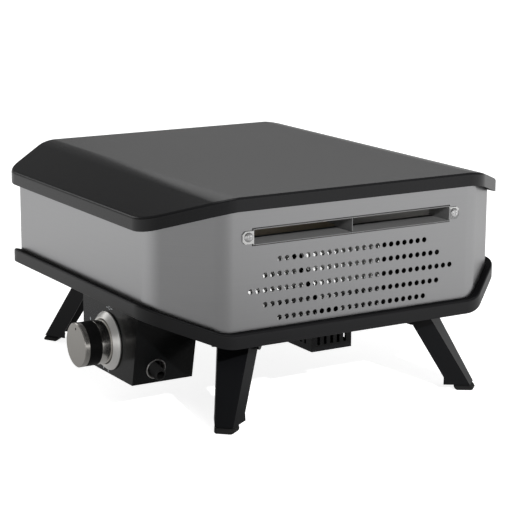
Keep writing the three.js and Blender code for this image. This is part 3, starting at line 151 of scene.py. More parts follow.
world = bpy.data.worlds.new("studio")
scene.world = world
world.use_nodes = True
tree = world.node_tree
tree.nodes.clear()
path = add_node(tree, "LightPath")
way = add_node(tree, "TexCoord")
tone = add_node(tree, "Group", {"Direction": way.outputs["Generated"]}, node_tree=tone_group)
mirrored = add_node(tree, "Background", {"Color": tone.outputs["Tone"]})
depth = add_node(tree, "SeparateXYZ", {0: way.outputs["Generated"]})
shaded = add_node(tree, "MapRange", {
    "Value": depth.outputs["Y"], "From Max": AMBIENT_FADE, "To Min": AMBIENT, "To Max": AMBIENT_BEHIND})
ambient = add_node(tree, "Background", {"Color": shaded.outputs[0]})
white = add_node(tree, "Background", {"Color": (1, 1, 1, 1)})
around = add_node(
    tree, "MixShader", {0: path.outputs["Is Glossy Ray"], 1: ambient.outputs[0], 2: mirrored.outputs[0]})
seen = add_node(
    tree, "Math", {0: path.outputs["Is Camera Ray"], 1: path.outputs["Is Transmission Ray"]},
    operation="MAXIMUM")
shown = add_node(tree, "MixShader", {0: seen.outputs[0], 1: around.outputs[0], 2: white.outputs[0]})
add_node(tree, "OutputWorld", {"Surface": shown.outputs[0]})

floor_mesh = bpy.data.meshes.new("studio_floor")
floor_mesh.from_pydata(
    [(x * FLOOR_HALF, y * FLOOR_HALF, -FLOOR_DROP) for x, y in ((-1, -1), (1, -1), (1, 1), (-1, 1))],
    [], [(0, 1, 2, 3)])
floor = bpy.data.objects.new("studio_floor", floor_mesh)
scene.collection.objects.link(floor)
paper = bpy.data.materials.new("studio_paper")
paper.use_nodes = True
tree = paper.node_tree
shade = tree.nodes["Principled BSDF"]
shade.inputs["Base Color"].default_value = (FLOOR_TONE, FLOOR_TONE, FLOOR_TONE, 1)
shade.inputs["Roughness"].default_value = FLOOR_ROUGHNESS
shade.inputs["Specular IOR Level"].default_value = FLOOR_SPECULAR
path = add_node(tree, "LightPath")
place = add_node(tree, "NewGeometry")
tone = add_node(tree, "Group", {"Direction": place.outputs["Position"]}, node_tree=tone_group)
distance = add_node(tree, "VectorMath", {0: place.outputs["Position"]}, operation="LENGTH")
beyond = add_node(tree, "MapRange", {
    "Value": distance.outputs["Value"], "From Min": FLOOR_NEAR, "From Max": FLOOR_FAR,
    "To Min": FLOOR_NEAR_GAIN, "To Max": FLOOR_FAR_GAIN})
mirrored = add_node(tree, "Emission", {"Color": tone.outputs["Tone"], "Strength": beyond.outputs[0]})
glow = add_node(tree, "Emission", {"Strength": FLOOR_GLOW})
lit = add_node(tree, "AddShader", {0: shade.outputs[0], 1: glow.outputs[0]})
seen = add_node(tree, "MixShader", {0: path.outputs["Is Camera Ray"], 1: shade.outputs[0], 2: lit.outputs[0]})
shown = add_node(
    tree, "MixShader", {0: path.outputs["Is Glossy Ray"], 1: seen.outputs[0], 2: mirrored.outputs[0]})
tree.links.new(shown.outputs[0], tree.nodes["Material Output"].inputs["Surface"])
floor_mesh.materials.append(paper)


# Lamps
# A key and a fill above the lens, soft lamps before the mouth, beyond the oven, on the lens's right
# and overhead, and one narrow lamp that shines through the perforations. Gloss shows four of them.
LAMPS = (
    # name, place, aim, size, watts, mirrored
    ("key_lamp", (0.45, 2.55, 1.85), (0, 0, 0.12), (0.7, 0.7), 12, False),
    ("fill_lamp", (0.45, 2.55, 1.85), (0, 0, 0.12), (0.7, 0.7), 5, True),
    ("front_lamp", (1.1, -2.1, 1.35), (0.1, 0, 0.1), (0.9, 0.9), 3.2, True),
    ("far_lamp", (-1.35, -1.9, 1.25), (-0.05, -0.05, 0.2), (1.3, 0.8), 1.8, True),
    ("right_lamp", (-2.6, 1.0, 1.2), (0, 0, 0.12), (1.2, 1.2), 6, False),
    ("overhead_lamp", (0, 0.2, 2.6), (0, 0, 0.2), (1.6, 1.6), 12, True))
REAR_LAMP_PLACE = (0.27, 2.80, 1.57)
REAR_LAMP_AIM = (-0.015, 0.2, 0.14)
REAR_LAMP_WATTS = 420
REAR_LAMP_ANGLE = math.radians(9)
REAR_LAMP_BLEND = 0.5
REAR_LAMP_RADIUS = 0.05


def hang_lamp(lamp, place, aim, mirrored):
    holder = bpy.data.objects.new(lamp.name, lamp)
    scene.collection.objects.link(holder)
    holder.location = place
    holder.rotation_mode = "QUATERNION"
    holder.rotation_quaternion = (Vector(aim) - Vector(place)).to_track_quat("-Z", "Y")
    holder.visible_glossy = mirrored


for name, place, aim, size, watts, mirrored in LAMPS:
    lamp = bpy.data.lights.new(name, "AREA")
    lamp.shape = "RECTANGLE"
    lamp.size, lamp.size_y = size
    lamp.energy = watts
    hang_lamp(lamp, place, aim, mirrored)
rear_lamp = bpy.data.lights.new("rear_lamp", "SPOT")
rear_lamp.energy = REAR_LAMP_WATTS
rear_lamp.spot_size = REAR_LAMP_ANGLE
rear_lamp.spot_blend = REAR_LAMP_BLEND
rear_lamp.shadow_soft_size = REAR_LAMP_RADIUS
hang_lamp(rear_lamp, REAR_LAMP_PLACE, REAR_LAMP_AIM, False)


# Base tray
# A deep-drawn steel pan, coated satin black: flat in the middle, its two flanks rise towards the
# sides, and its rim is turned down all round. The body stands in it and the legs hang from it.
MIDDLE_X = -14.7
MIDDLE_Y = 9.4
HALF_WIDTH = 211
REAR_Y = 195
FRONT_Y = -207.6
CORNER_X = 59
REAR_CORNER_Y = 49
FRONT_CORNER_Y = 39.9
BEND_RADIUS = 30
BEND_STEPS = 12
FLAT_HALF = HALF_WIDTH - CORNER_X
TRAY_Z = 100.5
TRAY_ANGLE = math.radians(21.7)
TRAY_FOLD = 60
TRAY_OVERHANG = 8
TRAY_RIM = 15
TRAY_EDGE = 3
SHEET = 1.2
EDGE_STEPS = 5
MIXER_HOLE, MIXER_HOLE_RADIUS = (0, 145), 11.5
LEAD_HOLE, LEAD_HOLE_RADIUS = (172, 96), 4.5
CUT_FROM_Z, CUT_TO_Z = 60, 130
LEDGE_FACES_UP = 0.9
SHARP_ANGLE = 35
WELD = 1e-6


def frame_point(x, y, z):
    """Millimetres from the plan's middle and above the ground, as metres in the shared frame."""
    return ((x + MIDDLE_X) / 1000, (y + MIDDLE_Y) / 1000, z / 1000)


def quarter_bends(reach_y, corner_y):
    """Centres of the two bends of one quarter of the plan, with each bend's first and last angle."""
    slant = math.atan2(corner_y, CORNER_X)
    quarter_turn = math.pi / 2
    bends = []
    for x, y, first, last in (
            (FLAT_HALF, reach_y, quarter_turn, quarter_turn - slant),
            (HALF_WIDTH, reach_y - corner_y, quarter_turn - slant, 0)):
        middle = (first + last) / 2
        reach = BEND_RADIUS / math.cos((first - last) / 2)
        bends.append((x - reach * math.cos(middle), y - reach * math.sin(middle), first, last))
    return bends


def plan_ring(offset):
    """The eight-sided plan with its bent corners, moved out by offset, from the right side round."""
    radius = BEND_RADIUS + offset
    quarters = []
    for reach_y, corner_y in ((REAR_Y, REAR_CORNER_Y), (-FRONT_Y, FRONT_CORNER_Y)):
        quarter = []
        for centre_x, centre_y, first, last in quarter_bends(reach_y, corner_y):
            for i in range(BEND_STEPS + 1):
                angle = first + (last - first) * i / BEND_STEPS
                quarter.append((centre_x + radius * math.cos(angle), centre_y + radius * math.sin(angle)))
        quarters.append(quarter)
    rear, front = quarters
    return (rear[::-1] + [(-x, y) for x, y in rear]
            + [(-x, -y) for x, y in front[::-1]] + [(x, -y) for x, y in front])


def flank_fall(x, angle, radius):
    """How far a flank has left the flat middle at x: none, then a rolled fold, then a straight slope."""
    reach = radius * math.tan(angle / 2)
    along = abs(x) - (FLAT_HALF - reach)
    if along <= 0:
        return 0
    if along >= 2 * reach:
        return (abs(x) - FLAT_HALF) * math.tan(angle)
    return min(radius - math.sqrt(radius ** 2 - along ** 2), along * math.tan(angle))


def tray_height(x):
    return TRAY_Z + flank_fall(x, TRAY_ANGLE, TRAY_FOLD)


def ring_shell(rings, hollow):
    """Rings joined in turn: into a closed band where hollow, or else closed by a plate at each end."""
    count = len(rings[0])
    verts = [frame_point(*point) for ring in rings for point in ring]
    faces = []
    for band in range(len(rings) if hollow else len(rings) - 1):
        a = band * count
        b = (band + 1) % len(rings) * count
        for i in range(count):
            j = (i + 1) % count
            faces.append((a + i, a + j, b + j, b + i))
    if hollow:
        return verts, faces
    quarter = count // 4
    for base in (0, (len(rings) - 1) * count):
        for k in range(quarter - 1):
            front, rear = 3 * quarter + k, quarter - 1 - k
            faces.append((base + front, base + front + 1, base + rear - 1, base + rear))
            front, rear = 3 * quarter - 1 - k, quarter + k
            faces.append((base + front - 1, base + front, base + rear, base + rear + 1))
        faces.append((base + 3 * quarter - 1, base + 3 * quarter, base + quarter - 1, base + quarter))
    return verts, faces


def pressed_pan(offset, height_at, rim, sheet, edge):
    """A drawn pan: a rolled edge of radius edge, a rim turned down by rim, and its hem."""
    hem = sheet / 4
    quarter_turns = [i / EDGE_STEPS * math.pi / 2 for i in range(EDGE_STEPS + 1)]
    section = [(edge * (1 - math.sin(a)), edge * (1 - math.cos(a))) for a in quarter_turns]
    section += [(0, rim - hem), (hem, rim), (sheet - hem, rim), (sheet, rim - hem)]
    inner = max(edge - sheet, hem)
    section += [
        (sheet + inner * (1 - math.sin(a)), sheet + inner * (1 - math.cos(a))) for a in quarter_turns[::-1]]
    rings = [[(x, y, height_at(x) - drop) for x, y in plan_ring(offset - inset)] for inset, drop in section]
    return ring_shell(rings, False)


def make_piece(name, verts, faces, sharp=SHARP_ANGLE):
    mesh = bpy.data.meshes.new(name)
    mesh.from_pydata(verts, [], faces)
    work = bmesh.new()
    work.from_mesh(mesh)
    bmesh.ops.remove_doubles(work, verts=work.verts, dist=WELD)
    bmesh.ops.recalc_face_normals(work, faces=work.faces)
    work.to_mesh(mesh)
    work.free()
    mesh.shade_smooth()
    mesh.set_sharp_from_angle(angle=math.radians(sharp))
    piece = bpy.data.objects.new(name, mesh)
    scene.collection.objects.link(piece)
    return piece


def even_normals(piece):
    piece.modifiers.new("even_normals", "WEIGHTED_NORMAL").keep_sharp = True


def cut_away(piece, verts, faces):
    tool = make_piece("cutting_tool", verts, faces)
    cut = piece.modifiers.new("cut", "BOOLEAN")
    cut.object = tool
    cut.solver = "EXACT"
    cut.operation = "DIFFERENCE"
    solved = piece.evaluated_get(bpy.context.evaluated_depsgraph_get())
    mesh = bpy.data.meshes.new_from_object(solved)
    piece.modifiers.clear()
    piece.data = mesh
    mesh.shade_smooth()
    mesh.set_sharp_from_angle(angle=math.radians(SHARP_ANGLE))
    bpy.data.objects.remove(tool)


def rods(places, radius, low, high, axis, sides):
    """Round cutting rods along Z at (x, y), or along Y at (x, z)."""
    verts, faces = [], []
    for a, b in places:
        first = len(verts)
        for along in (low, high):
            for i in range(sides):
                angle = 2 * math.pi * (i + 0.5) / sides
                p, q = a + radius * math.cos(angle), b + radius * math.sin(angle)
                verts.append(frame_point(p, along, q) if axis == "Y" else frame_point(p, q, along))
        for i in range(sides):
            j = (i + 1) % sides
            faces.append((first + i, first + j, first + sides + j, first + sides + i))
        faces.append(tuple(first + i for i in range(sides)))
        faces.append(tuple(first + sides + i for i in range(sides)))
    return verts, faces


def fit_piece(piece, body, slot, material, *stands_for):
    piece.data.materials.clear()
    piece.data.materials.append(material)
    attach(piece, body)
    if stands_for:
        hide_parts(*stands_for)


def finish_faces(piece, material, chosen):
    """A second finish for the chosen faces of a piece that has its main one."""
    piece.data.materials.append(material)
    for face in piece.data.polygons:
        if chosen(face):
            face.material_index = 1


# Fine grain of a finish, stretched along the way it was made, and slow clouds of handling and dust
grain_group, grain_in, grain_out = new_group(
    "surface_grain",
    (("Cells", "NodeSocketVector", (900, 900, 900)), ("Clouds", "NodeSocketFloat", 9.0)),
    ("Grain", "Cloud"))
where = add_node(grain_group, "TexCoord")
stretched = add_node(
    grain_group, "VectorMath", {0: where.outputs["Object"], 1: grain_in.outputs["Cells"]},
    operation="MULTIPLY")
fine = add_node(grain_group, "TexNoise", {"Vector": stretched.outputs[0], "Scale": 1.0, "Detail": 3.0})
slow = add_node(
    grain_group, "TexNoise",
    {"Vector": where.outputs["Object"], "Scale": grain_in.outputs["Clouds"], "Detail": 4.0})
grain_group.links.new(fine.outputs[0], grain_out.inputs["Grain"])
grain_group.links.new(slow.outputs[0], grain_out.inputs["Cloud"])


def make_finish(name, color, roughness, metallic=0.0, specular=0.5, cells=(900, 900, 900), clouds=9.0,
                tone=0.12, spread=0.08, bump=0.15, depth=0.00004, fade=None):
    """tone and spread: how far colour and roughness wander; bump and depth: the grain's relief."""
    material = bpy.data.materials.new(name)
    material.use_nodes = True
    tree = material.node_tree
    shader = tree.nodes["Principled BSDF"]
    shader.inputs["Metallic"].default_value = metallic
    shader.inputs["Specular IOR Level"].default_value = specular
    grain = add_node(tree, "Group", node_tree=grain_group)
    grain.inputs["Cells"].default_value = cells
    grain.inputs["Clouds"].default_value = clouds
    half_cloud = add_node(tree, "Math", {0: grain.outputs["Cloud"], 1: 0.5}, operation="MULTIPLY")
    mixed = add_node(
        tree, "Math", {0: grain.outputs["Grain"], 1: 0.5, 2: half_cloud.outputs[0]},
        operation="MULTIPLY_ADD")
    tint = add_node(tree, "Mix", {
        0: mixed.outputs[0], 6: (*[c * (1 - 2 * tone) for c in color], 1),
        7: (*[min(1, c * (1 + 2 * tone)) for c in color], 1)}, data_type="RGBA")
    # fade paints shade: a smooth step along one axis darkens the base colour towards a given colour.
    if fade:
        axis, lit_at, shaded_at, shade_color = fade
        where = add_node(tree, "TexCoord")
        split = add_node(tree, "SeparateXYZ", {0: where.outputs["Object"]})
        shade_mask = add_node(tree, "MapRange", {
            "Value": split.outputs[axis], "From Min": lit_at / 1000, "From Max": shaded_at / 1000},
            interpolation_type="SMOOTHSTEP")
        tint = add_node(
            tree, "Mix", {0: shade_mask.outputs[0], 6: tint.outputs[2], 7: (*shade_color, 1)}, data_type="RGBA")
    tree.links.new(tint.outputs[2], shader.inputs["Base Color"])
    rough = add_node(tree, "MapRange", {
        "Value": mixed.outputs[0], "To Min": max(0.02, roughness - 2 * spread),
        "To Max": min(1, roughness + 2 * spread)})
    tree.links.new(rough.outputs[0], shader.inputs["Roughness"])
    relief = add_node(tree, "Bump", {"Strength": bump, "Distance": depth, "Height": grain.outputs["Grain"]})
    tree.links.new(relief.outputs[0], shader.inputs["Normal"])
    return material


tray_coat = make_finish("tray_coat", (0.005, 0.005, 0.0055), 0.34, specular=0.32, bump=0.12, tone=0.10)
ledge_coat = make_finish("ledge_coat", (0.004, 0.004, 0.0045), 0.6, specular=0.06, bump=0.12, tone=0.10)
tray = make_piece("tray", *pressed_pan(TRAY_OVERHANG, tray_height, TRAY_RIM, SHEET, TRAY_EDGE))
cut_away(tray, *rods([MIXER_HOLE], MIXER_HOLE_RADIUS, CUT_FROM_Z, CUT_TO_Z, "Z", 40))
cut_away(tray, *rods([LEAD_HOLE], LEAD_HOLE_RADIUS, CUT_FROM_Z, CUT_TO_Z, "Z", 20))
even_normals(tray)
fit_piece(tray, "oven", "black_coat", tray_coat, "base_tray")
finish_faces(tray, ledge_coat, lambda face: face.normal.z > LEDGE_FACES_UP)


# Body wrap
# One brushed stainless sheet folded round the oven, open at the mouth, with a slot for the flue and
# five rows of round perforations in its rear. It stands between the tray and the lid.
LID_Z = 237.5
LID_ANGLE = math.radians(18.7)
LID_FOLD = 105
WRAP_SHEET = 1
GAP = 0.3
HOLE_RADIUS = 2.8
HOLE_PITCH = 8.4
HOLE_ROW_SPACING = 15
HOLE_ROWS = (22, 26, 30, 26, 22)
HOLE_MIDDLE_Z = 139.9
HOLE_CUT = 6
FLUE_HALF = 118.7
FLUE_LOW = 187.4
FLUE_HIGH = 202.1
FLUE_SHEET = 0.8
FLUE_MARGIN = FLUE_SHEET + 3 * GAP
FLUE_CUT = 8
MOUTH_HALF = 168
MOUTH_LOW = 118
MOUTH_HIGH = 198
MOUTH_BACK_Y = -145.7
MOUTH_CUT_FROM_Y = FRONT_Y - 40
INWARD = -0.02


def lid_height(x):
    return LID_Z - flank_fall(x, LID_ANGLE, LID_FOLD)


def upright_wall(sheet, low_at, high_at):
    rings = []
    for inset, height_at in ((0, low_at), (0, high_at), (sheet, high_at), (sheet, low_at)):
        rings.append([(x, y, height_at(x)) for x, y in plan_ring(-inset)])
    return ring_shell(rings, True)


def block(x0, x1, y0, y1, z0, z1):
    verts = [frame_point(x, y, z) for z in (z0, z1) for x, y in ((x0, y0), (x1, y0), (x1, y1), (x0, y1))]
    faces = [(3, 2, 1, 0), (4, 5, 6, 7), (0, 1, 5, 4), (1, 2, 6, 5), (2, 3, 7, 6), (3, 0, 4, 7)]
    return verts, faces


def faces_inward(face):
    from_middle_x = face.center.x - MIDDLE_X / 1000
    from_middle_y = face.center.y - MIDDLE_Y / 1000
    return face.normal.x * from_middle_x + face.normal.y * from_middle_y < INWARD


body_steel = make_finish(
    "body_steel", (0.40, 0.40, 0.405), 0.33, metallic=1.0, cells=(14, 14, 2200), clouds=5,
    tone=0.06, spread=0.04, bump=0.10, depth=0.00002)
# The wrap's inward faces get a near-black finish: painted shade inside the wrap.
wrap_inner_shade = make_finish("wrap_inner_shade", (0.05, 0.048, 0.046), 0.6, metallic=0.6, tone=0.2, spread=0.08)
body = make_piece("body_panels", *upright_wall(
    WRAP_SHEET, lambda x: tray_height(x) + GAP, lambda x: lid_height(x) - SHEET - GAP))
middle_row = len(HOLE_ROWS) // 2
perforations = [
    ((i - (count - 1) / 2) * HOLE_PITCH, HOLE_MIDDLE_Z + (middle_row - number) * HOLE_ROW_SPACING)
    for number, count in enumerate(HOLE_ROWS) for i in range(count)]
cut_away(body, *rods(perforations, HOLE_RADIUS, REAR_Y - HOLE_CUT, REAR_Y + HOLE_CUT, "Y", 20))
cut_away(body, *block(
    -FLUE_HALF - FLUE_MARGIN, FLUE_HALF + FLUE_MARGIN, REAR_Y - FLUE_CUT, REAR_Y + FLUE_CUT,
    FLUE_LOW - FLUE_MARGIN, FLUE_HIGH + FLUE_MARGIN))
cut_away(body, *block(-MOUTH_HALF, MOUTH_HALF, MOUTH_CUT_FROM_Y, MOUTH_BACK_Y, MOUTH_LOW, MOUTH_HIGH))
even_normals(body)
fit_piece(body, "oven", "brushed_steel", body_steel, "body_wrap")
finish_faces(body, wrap_inner_shade, faces_inward)


# Lid
# The same pressed form turned over: a flat crown, two flanks that fall towards the sides and a rim
# turned down past the top of the body. Satin black coating; the crown is bare.
LID_OVERHANG = 9
LID_RIM = 14.2
LID_EDGE = 2.6
lid_coat = make_finish(
    "lid_coat", (0.006, 0.006, 0.0065), 0.235, specular=0.30, bump=0.10, tone=0.08, spread=0.03, clouds=5)
lid = make_piece("lid", *pressed_pan(LID_OVERHANG, lid_height, LID_RIM, SHEET, LID_EDGE))
even_normals(lid)
fit_piece(lid, "oven", "black_coat", lid_coat, "lid_shell")


# Flue
# A short folded stainless duct through the rear, with a thin divider in its middle. Its two end
# tabs lie flat on the body.
DIVIDER_THINNING = 0.55
TAB_START = FLUE_HALF + 0.6
CAD_WELD = 2e-6
FLAT_ENOUGH = 0.6
ROUNDING_ANGLE = 40


def round_edges(piece, width, segments, limit):
    rounded = piece.modifiers.new("rounded_edges", "BEVEL")
    rounded.width = width / 1000
    rounded.segments = segments
    rounded.limit_method = "ANGLE"
    rounded.angle_limit = math.radians(limit)
    rounded.harden_normals = False


def dressed_copy(node, name, rounding, segments=2):
    """A new piece with the CAD node's own form, its triangles joined and its edges rounded."""
    mesh = nodes[node].data.copy()
    mesh.name = name
    mesh.materials.clear()
    work = bmesh.new()
    work.from_mesh(mesh)
    bmesh.ops.remove_doubles(work, verts=work.verts, dist=CAD_WELD)
    bmesh.ops.dissolve_limit(
        work, angle_limit=math.radians(FLAT_ENOUGH), verts=work.verts, edges=work.edges,
        use_dissolve_boundaries=False)
    bmesh.ops.recalc_face_normals(work, faces=work.faces)
    work.to_mesh(mesh)
    work.free()
    mesh.shade_smooth()
    mesh.set_sharp_from_angle(angle=math.radians(ROUNDING_ANGLE))
    piece = bpy.data.objects.new(name, mesh)
    scene.collection.objects.link(piece)
    if rounding:
        round_edges(piece, rounding, segments, ROUNDING_ANGLE)
    even_normals(piece)
    return piece


def inside_duct(face):
    return abs(face.center.x * 1000 - MIDDLE_X) < TAB_START


flue_steel = make_finish(
    "flue_steel", (0.84, 0.84, 0.83), 0.42, metallic=1.0, cells=(60, 1500, 1500), tone=0.06, spread=0.05,
    bump=0.10, depth=0.00002)
# The duct and divider inside the slot get a dark grey copy of the steel: painted shade in the duct.
flue_duct_shade = make_finish(
    "flue_duct_shade", (0.20, 0.20, 0.20), 0.5, metallic=0.3, cells=(60, 1500, 1500), tone=0.10, spread=0.06)
duct = dressed_copy("flue_duct", "flue", 0.25)
fit_piece(duct, "oven", "bright_steel", flue_steel, "flue_duct")
finish_faces(duct, flue_duct_shade, inside_duct)
divider = dressed_copy("flue_divider", "flue_middle", 0.5)
divider_x = sum(vertex.co.x for vertex in divider.data.vertices) / len(divider.data.vertices)
for vertex in divider.data.vertices:
    vertex.co.x = divider_x + (vertex.co.x - divider_x) * DIVIDER_THINNING
fit_piece(divider, "oven", "bright_steel", flue_steel, "flue_divider")
finish_faces(divider, flue_duct_shade, inside_duct)


# Flue screws
# Zinc-plated M5 pan-head screws with cross recesses, headed cold from wire. They hold the flue's
# end tabs to the body.
SCREW_HEAD = [(-5, 0), (-5, 2.1), (0.6, 2.1), (0.6, 4.5), (0.9, 4.8), (1.6, 4.75), (2.3, 4.3), (2.9, 3.3),
              (3.25, 1.9), (3.35, 0)]
SCREW_INSET = 6.3
SCREW_Z = (FLUE_LOW + FLUE_HIGH) / 2 + 0.5
RECESS_FLOOR = REAR_Y + 1.9
RECESS_TOP = REAR_Y + 5
RECESS_REACH = 2.6
RECESS_HALF = 0.45


def turned(profile, axis, origin, sides):
    """A profile of (along, radius) turned round the X or Y axis through origin."""
    verts, faces, rings = [], [], []
    for along, radius in profile:
        if radius <= 0:
            rings.append([len(verts)])
            verts.append((along, 0, 0))
        else:
            rings.append(list(range(len(verts), len(verts) + sides)))
            for i in range(sides):
                angle = 2 * math.pi * i / sides
                verts.append((along, radius * math.cos(angle), radius * math.sin(angle)))
    pairs = list(zip(rings, rings[1:]))
    if len(rings[0]) > 1 or len(rings[-1]) > 1:
        pairs.append((rings[-1], rings[0]))
    for low, high in pairs:
        for i in range(sides):
            j = (i + 1) % sides
            if len(low) == 1 and len(high) == 1:
                continue
            if len(low) == 1:
                faces.append((low[0], high[i], high[j]))
            elif len(high) == 1:
                faces.append((low[i], low[j], high[0]))
            else:
                faces.append((low[i], low[j], high[j], high[i]))
    ox, oy, oz = origin
    if axis == "X":
        return [frame_point(ox + a, oy + b, oz + c) for a, b, c in verts], faces
    return [frame_point(ox + b, oy + a, oz + c) for a, b, c in verts], faces


screw_zinc = make_finish(
    "screw_zinc", (0.88, 0.88, 0.88), 0.36, metallic=1.0, tone=0.05, spread=0.05, bump=0.05)
for side, name, node in (
        (1, "flue_fixing_right", "flue_screw_right"), (-1, "flue_fixing_left", "flue_screw_left")):
    x = side * (FLUE_HALF + SCREW_INSET)
    screw = make_piece(name, *turned(SCREW_HEAD, "Y", (x, REAR_Y, SCREW_Z), 32))
    for half_x, half_z in ((RECESS_REACH, RECESS_HALF), (RECESS_HALF, RECESS_REACH)):
        cut_away(screw, *block(
            x - half_x, x + half_x, RECESS_FLOOR, RECESS_TOP, SCREW_Z - half_z, SCREW_Z + half_z))
    even_normals(screw)
    fit_piece(screw, "oven", "bright_steel", screw_zinc, node)


# Roof and floor liners
# Two shallow pans of plain stainless inside the lid and the tray, pressed to the same eight-sided
# plan. The roof is dull with soot. The floor has holes for the mixing tube and the electrode.
ROOF_INSET = 20
ROOF_DROP = 18
ROOF_RIM = 8
FLOOR_INSET = 24
FLOOR_RISE = 8
FLOOR_RIM = 7.7
LINER_SHEET = 0.8
LINER_EDGE = 2
ELECTRODE_HOLE, ELECTRODE_HOLE_RADIUS = (60, 164.2), 4.2
liner_steel = make_finish(
    "liner_steel", (0.30, 0.296, 0.288), 0.42, metallic=1.0, cells=(30, 30, 1200), tone=0.10, spread=0.06)
roof_soot = make_finish(
    "roof_soot", (0.045, 0.044, 0.043), 0.55, metallic=0.8, cells=(60, 60, 60), clouds=20,
    tone=0.25, spread=0.08)
roof = make_piece("roof_panel", *pressed_pan(
    -ROOF_INSET, lambda x: lid_height(x) - ROOF_DROP, ROOF_RIM, LINER_SHEET, LINER_EDGE))
even_normals(roof)
fit_piece(roof, "oven", "liner_steel", roof_soot, "roof_liner")
pan = make_piece("floor_panel", *pressed_pan(
    -FLOOR_INSET, lambda x: tray_height(x) + FLOOR_RISE, FLOOR_RIM, LINER_SHEET, LINER_EDGE))
cut_away(pan, *rods([MIXER_HOLE], MIXER_HOLE_RADIUS, CUT_FROM_Z, CUT_TO_Z, "Z", 40))
cut_away(pan, *rods([ELECTRODE_HOLE], ELECTRODE_HOLE_RADIUS, CUT_FROM_Z, CUT_TO_Z, "Z", 20))
even_normals(pan)
fit_piece(pan, "oven", "liner_steel", liner_steel, "floor_pan")


# Hot parts and gas train
# The side liner, stone rails and flame guard are folded stainless, dulled by heat; the burner is a
# sooty stainless tube on two stands. A brass valve, with its plug, feeds a brass injector.
dark_steel = make_finish(
    "dark_steel", (0.16, 0.155, 0.15), 0.45, metallic=1.0, cells=(200, 200, 200), tone=0.15, spread=0.08)
brass = make_finish("brass", (0.48, 0.33, 0.12), 0.30, metallic=1.0, cells=(900, 200, 200), tone=0.10)
for node, name, rounding, material, slot in (
        ("liner_wall", "side_liner", 0, liner_steel, "liner_steel"),
        ("stone_rail_left", "rail_left", 0.3, liner_steel, "liner_steel"),
        ("stone_rail_right", "rail_right", 0.3, liner_steel, "liner_steel"),
        ("flame_guard", "flame_screen", 0.2, dark_steel, "dark_steel"),
        ("burner", "burner_tube", 0, roof_soot, "liner_steel"),
        ("burner_bracket_left", "burner_stand_left", 0.3, liner_steel, "liner_steel"),
        ("burner_bracket_right", "burner_stand_right", 0.3, liner_steel, "liner_steel"),
        ("injector", "gas_nozzle", 0.2, brass, "brass"),
        ("gas_valve", "valve_body", 0.4, brass, "brass")):
    fit_piece(dressed_copy(node, name, rounding), "oven", slot, material, node)
fit_piece(dressed_copy("valve_plug", "valve_core", 0.2), "valve_plug", "brass", brass, "valve_plug")


# Gas inlet
# Turned fittings: a plain union inside the box and a blackened threaded end that leans with the
# box's rear face. A hexagon nut holds them together, and a dished plated collar lines the round hole.
INLET_X, INLET_Z, INLET_FACE = 187.6, 52, 118.66
ELBOW_Y = 108
BOX_LEAN = math.atan(14.3 / 70)
UNION_PROFILE = [(71.3, 0), (71.3, 5), (94.6, 5), (94.6, 6), (104.5, 6), (105, 5.5), (105, 0)]
SHANK_PROFILE = [(101.5, 0), (101.5, 5.8)]
THREAD_START, THREAD_PITCH, THREAD_TURNS = 103.4, 1.5, 17
THREAD_ROOT, THREAD_CREST = 5.9, 6.6
THREAD_FLANK, THREAD_LAND, THREAD_FOOT = 0.45, 0.75, 1.2
BORE_PROFILE = [(129.2, 5.9), (129.66, 5.5), (129.66, 4.2), (114.66, 3.4), (114.66, 0)]
NUT_PROFILE = [(95.7, 6.2), (95.7, 8.9), (96.2, 9.6), (102.2, 9.6), (102.7, 8.9), (102.7, 6.2)]
COLLAR_PROFILE = [(-4.6, 7.1), (-4.6, 8.6), (0.3, 9.4), (0.3, 10.8), (1.0, 10.8), (1.3, 10.5), (1.3, 10.0),
                  (-4.2, 7.1)]


def lean_with_box(piece, y):
    hinge = Matrix.Translation(frame_point(INLET_X, y, INLET_Z))
    piece.data.transform(hinge @ Matrix.Rotation(-BOX_LEAN, 4, "X") @ hinge.inverted())


fitting_black = make_finish("fitting_black", (0.02, 0.02, 0.02), 0.4, metallic=0.6, tone=0.15, spread=0.08)
collar_steel = make_finish(
    "collar_steel", (0.80, 0.78, 0.76), 0.30, metallic=1.0, cells=(300, 300, 300), tone=0.08)
union = make_piece("gas_inlet_union", *turned(UNION_PROFILE, "Y", (INLET_X, 0, INLET_Z), 48))
fit_piece(union, "oven", "dark_steel", dark_steel)
thread = list(SHANK_PROFILE)
for number in range(THREAD_TURNS):
    foot = THREAD_START + number * THREAD_PITCH
    thread += [(foot, THREAD_ROOT), (foot + THREAD_FLANK, THREAD_CREST), (foot + THREAD_LAND, THREAD_CREST),
               (foot + THREAD_FOOT, THREAD_ROOT)]
inlet = make_piece("gas_inlet", *turned(thread + BORE_PROFILE, "Y", (INLET_X, 0, INLET_Z), 48))
lean_with_box(inlet, ELBOW_Y)
fit_piece(inlet, "oven", "dark_steel", fitting_black, "inlet_fitting")
nut = make_piece("gas_inlet_nut", *turned(NUT_PROFILE, "Y", (INLET_X, 0, INLET_Z), 6))
fit_piece(nut, "oven", "dark_steel", dark_steel)
inlet_collar = make_piece(
    "gas_inlet_collar", *turned(COLLAR_PROFILE, "Y", (INLET_X, INLET_FACE, INLET_Z), 64))
lean_with_box(inlet_collar, INLET_FACE)
fit_piece(inlet_collar, "oven", "dark_steel", collar_steel, "inlet_collar")
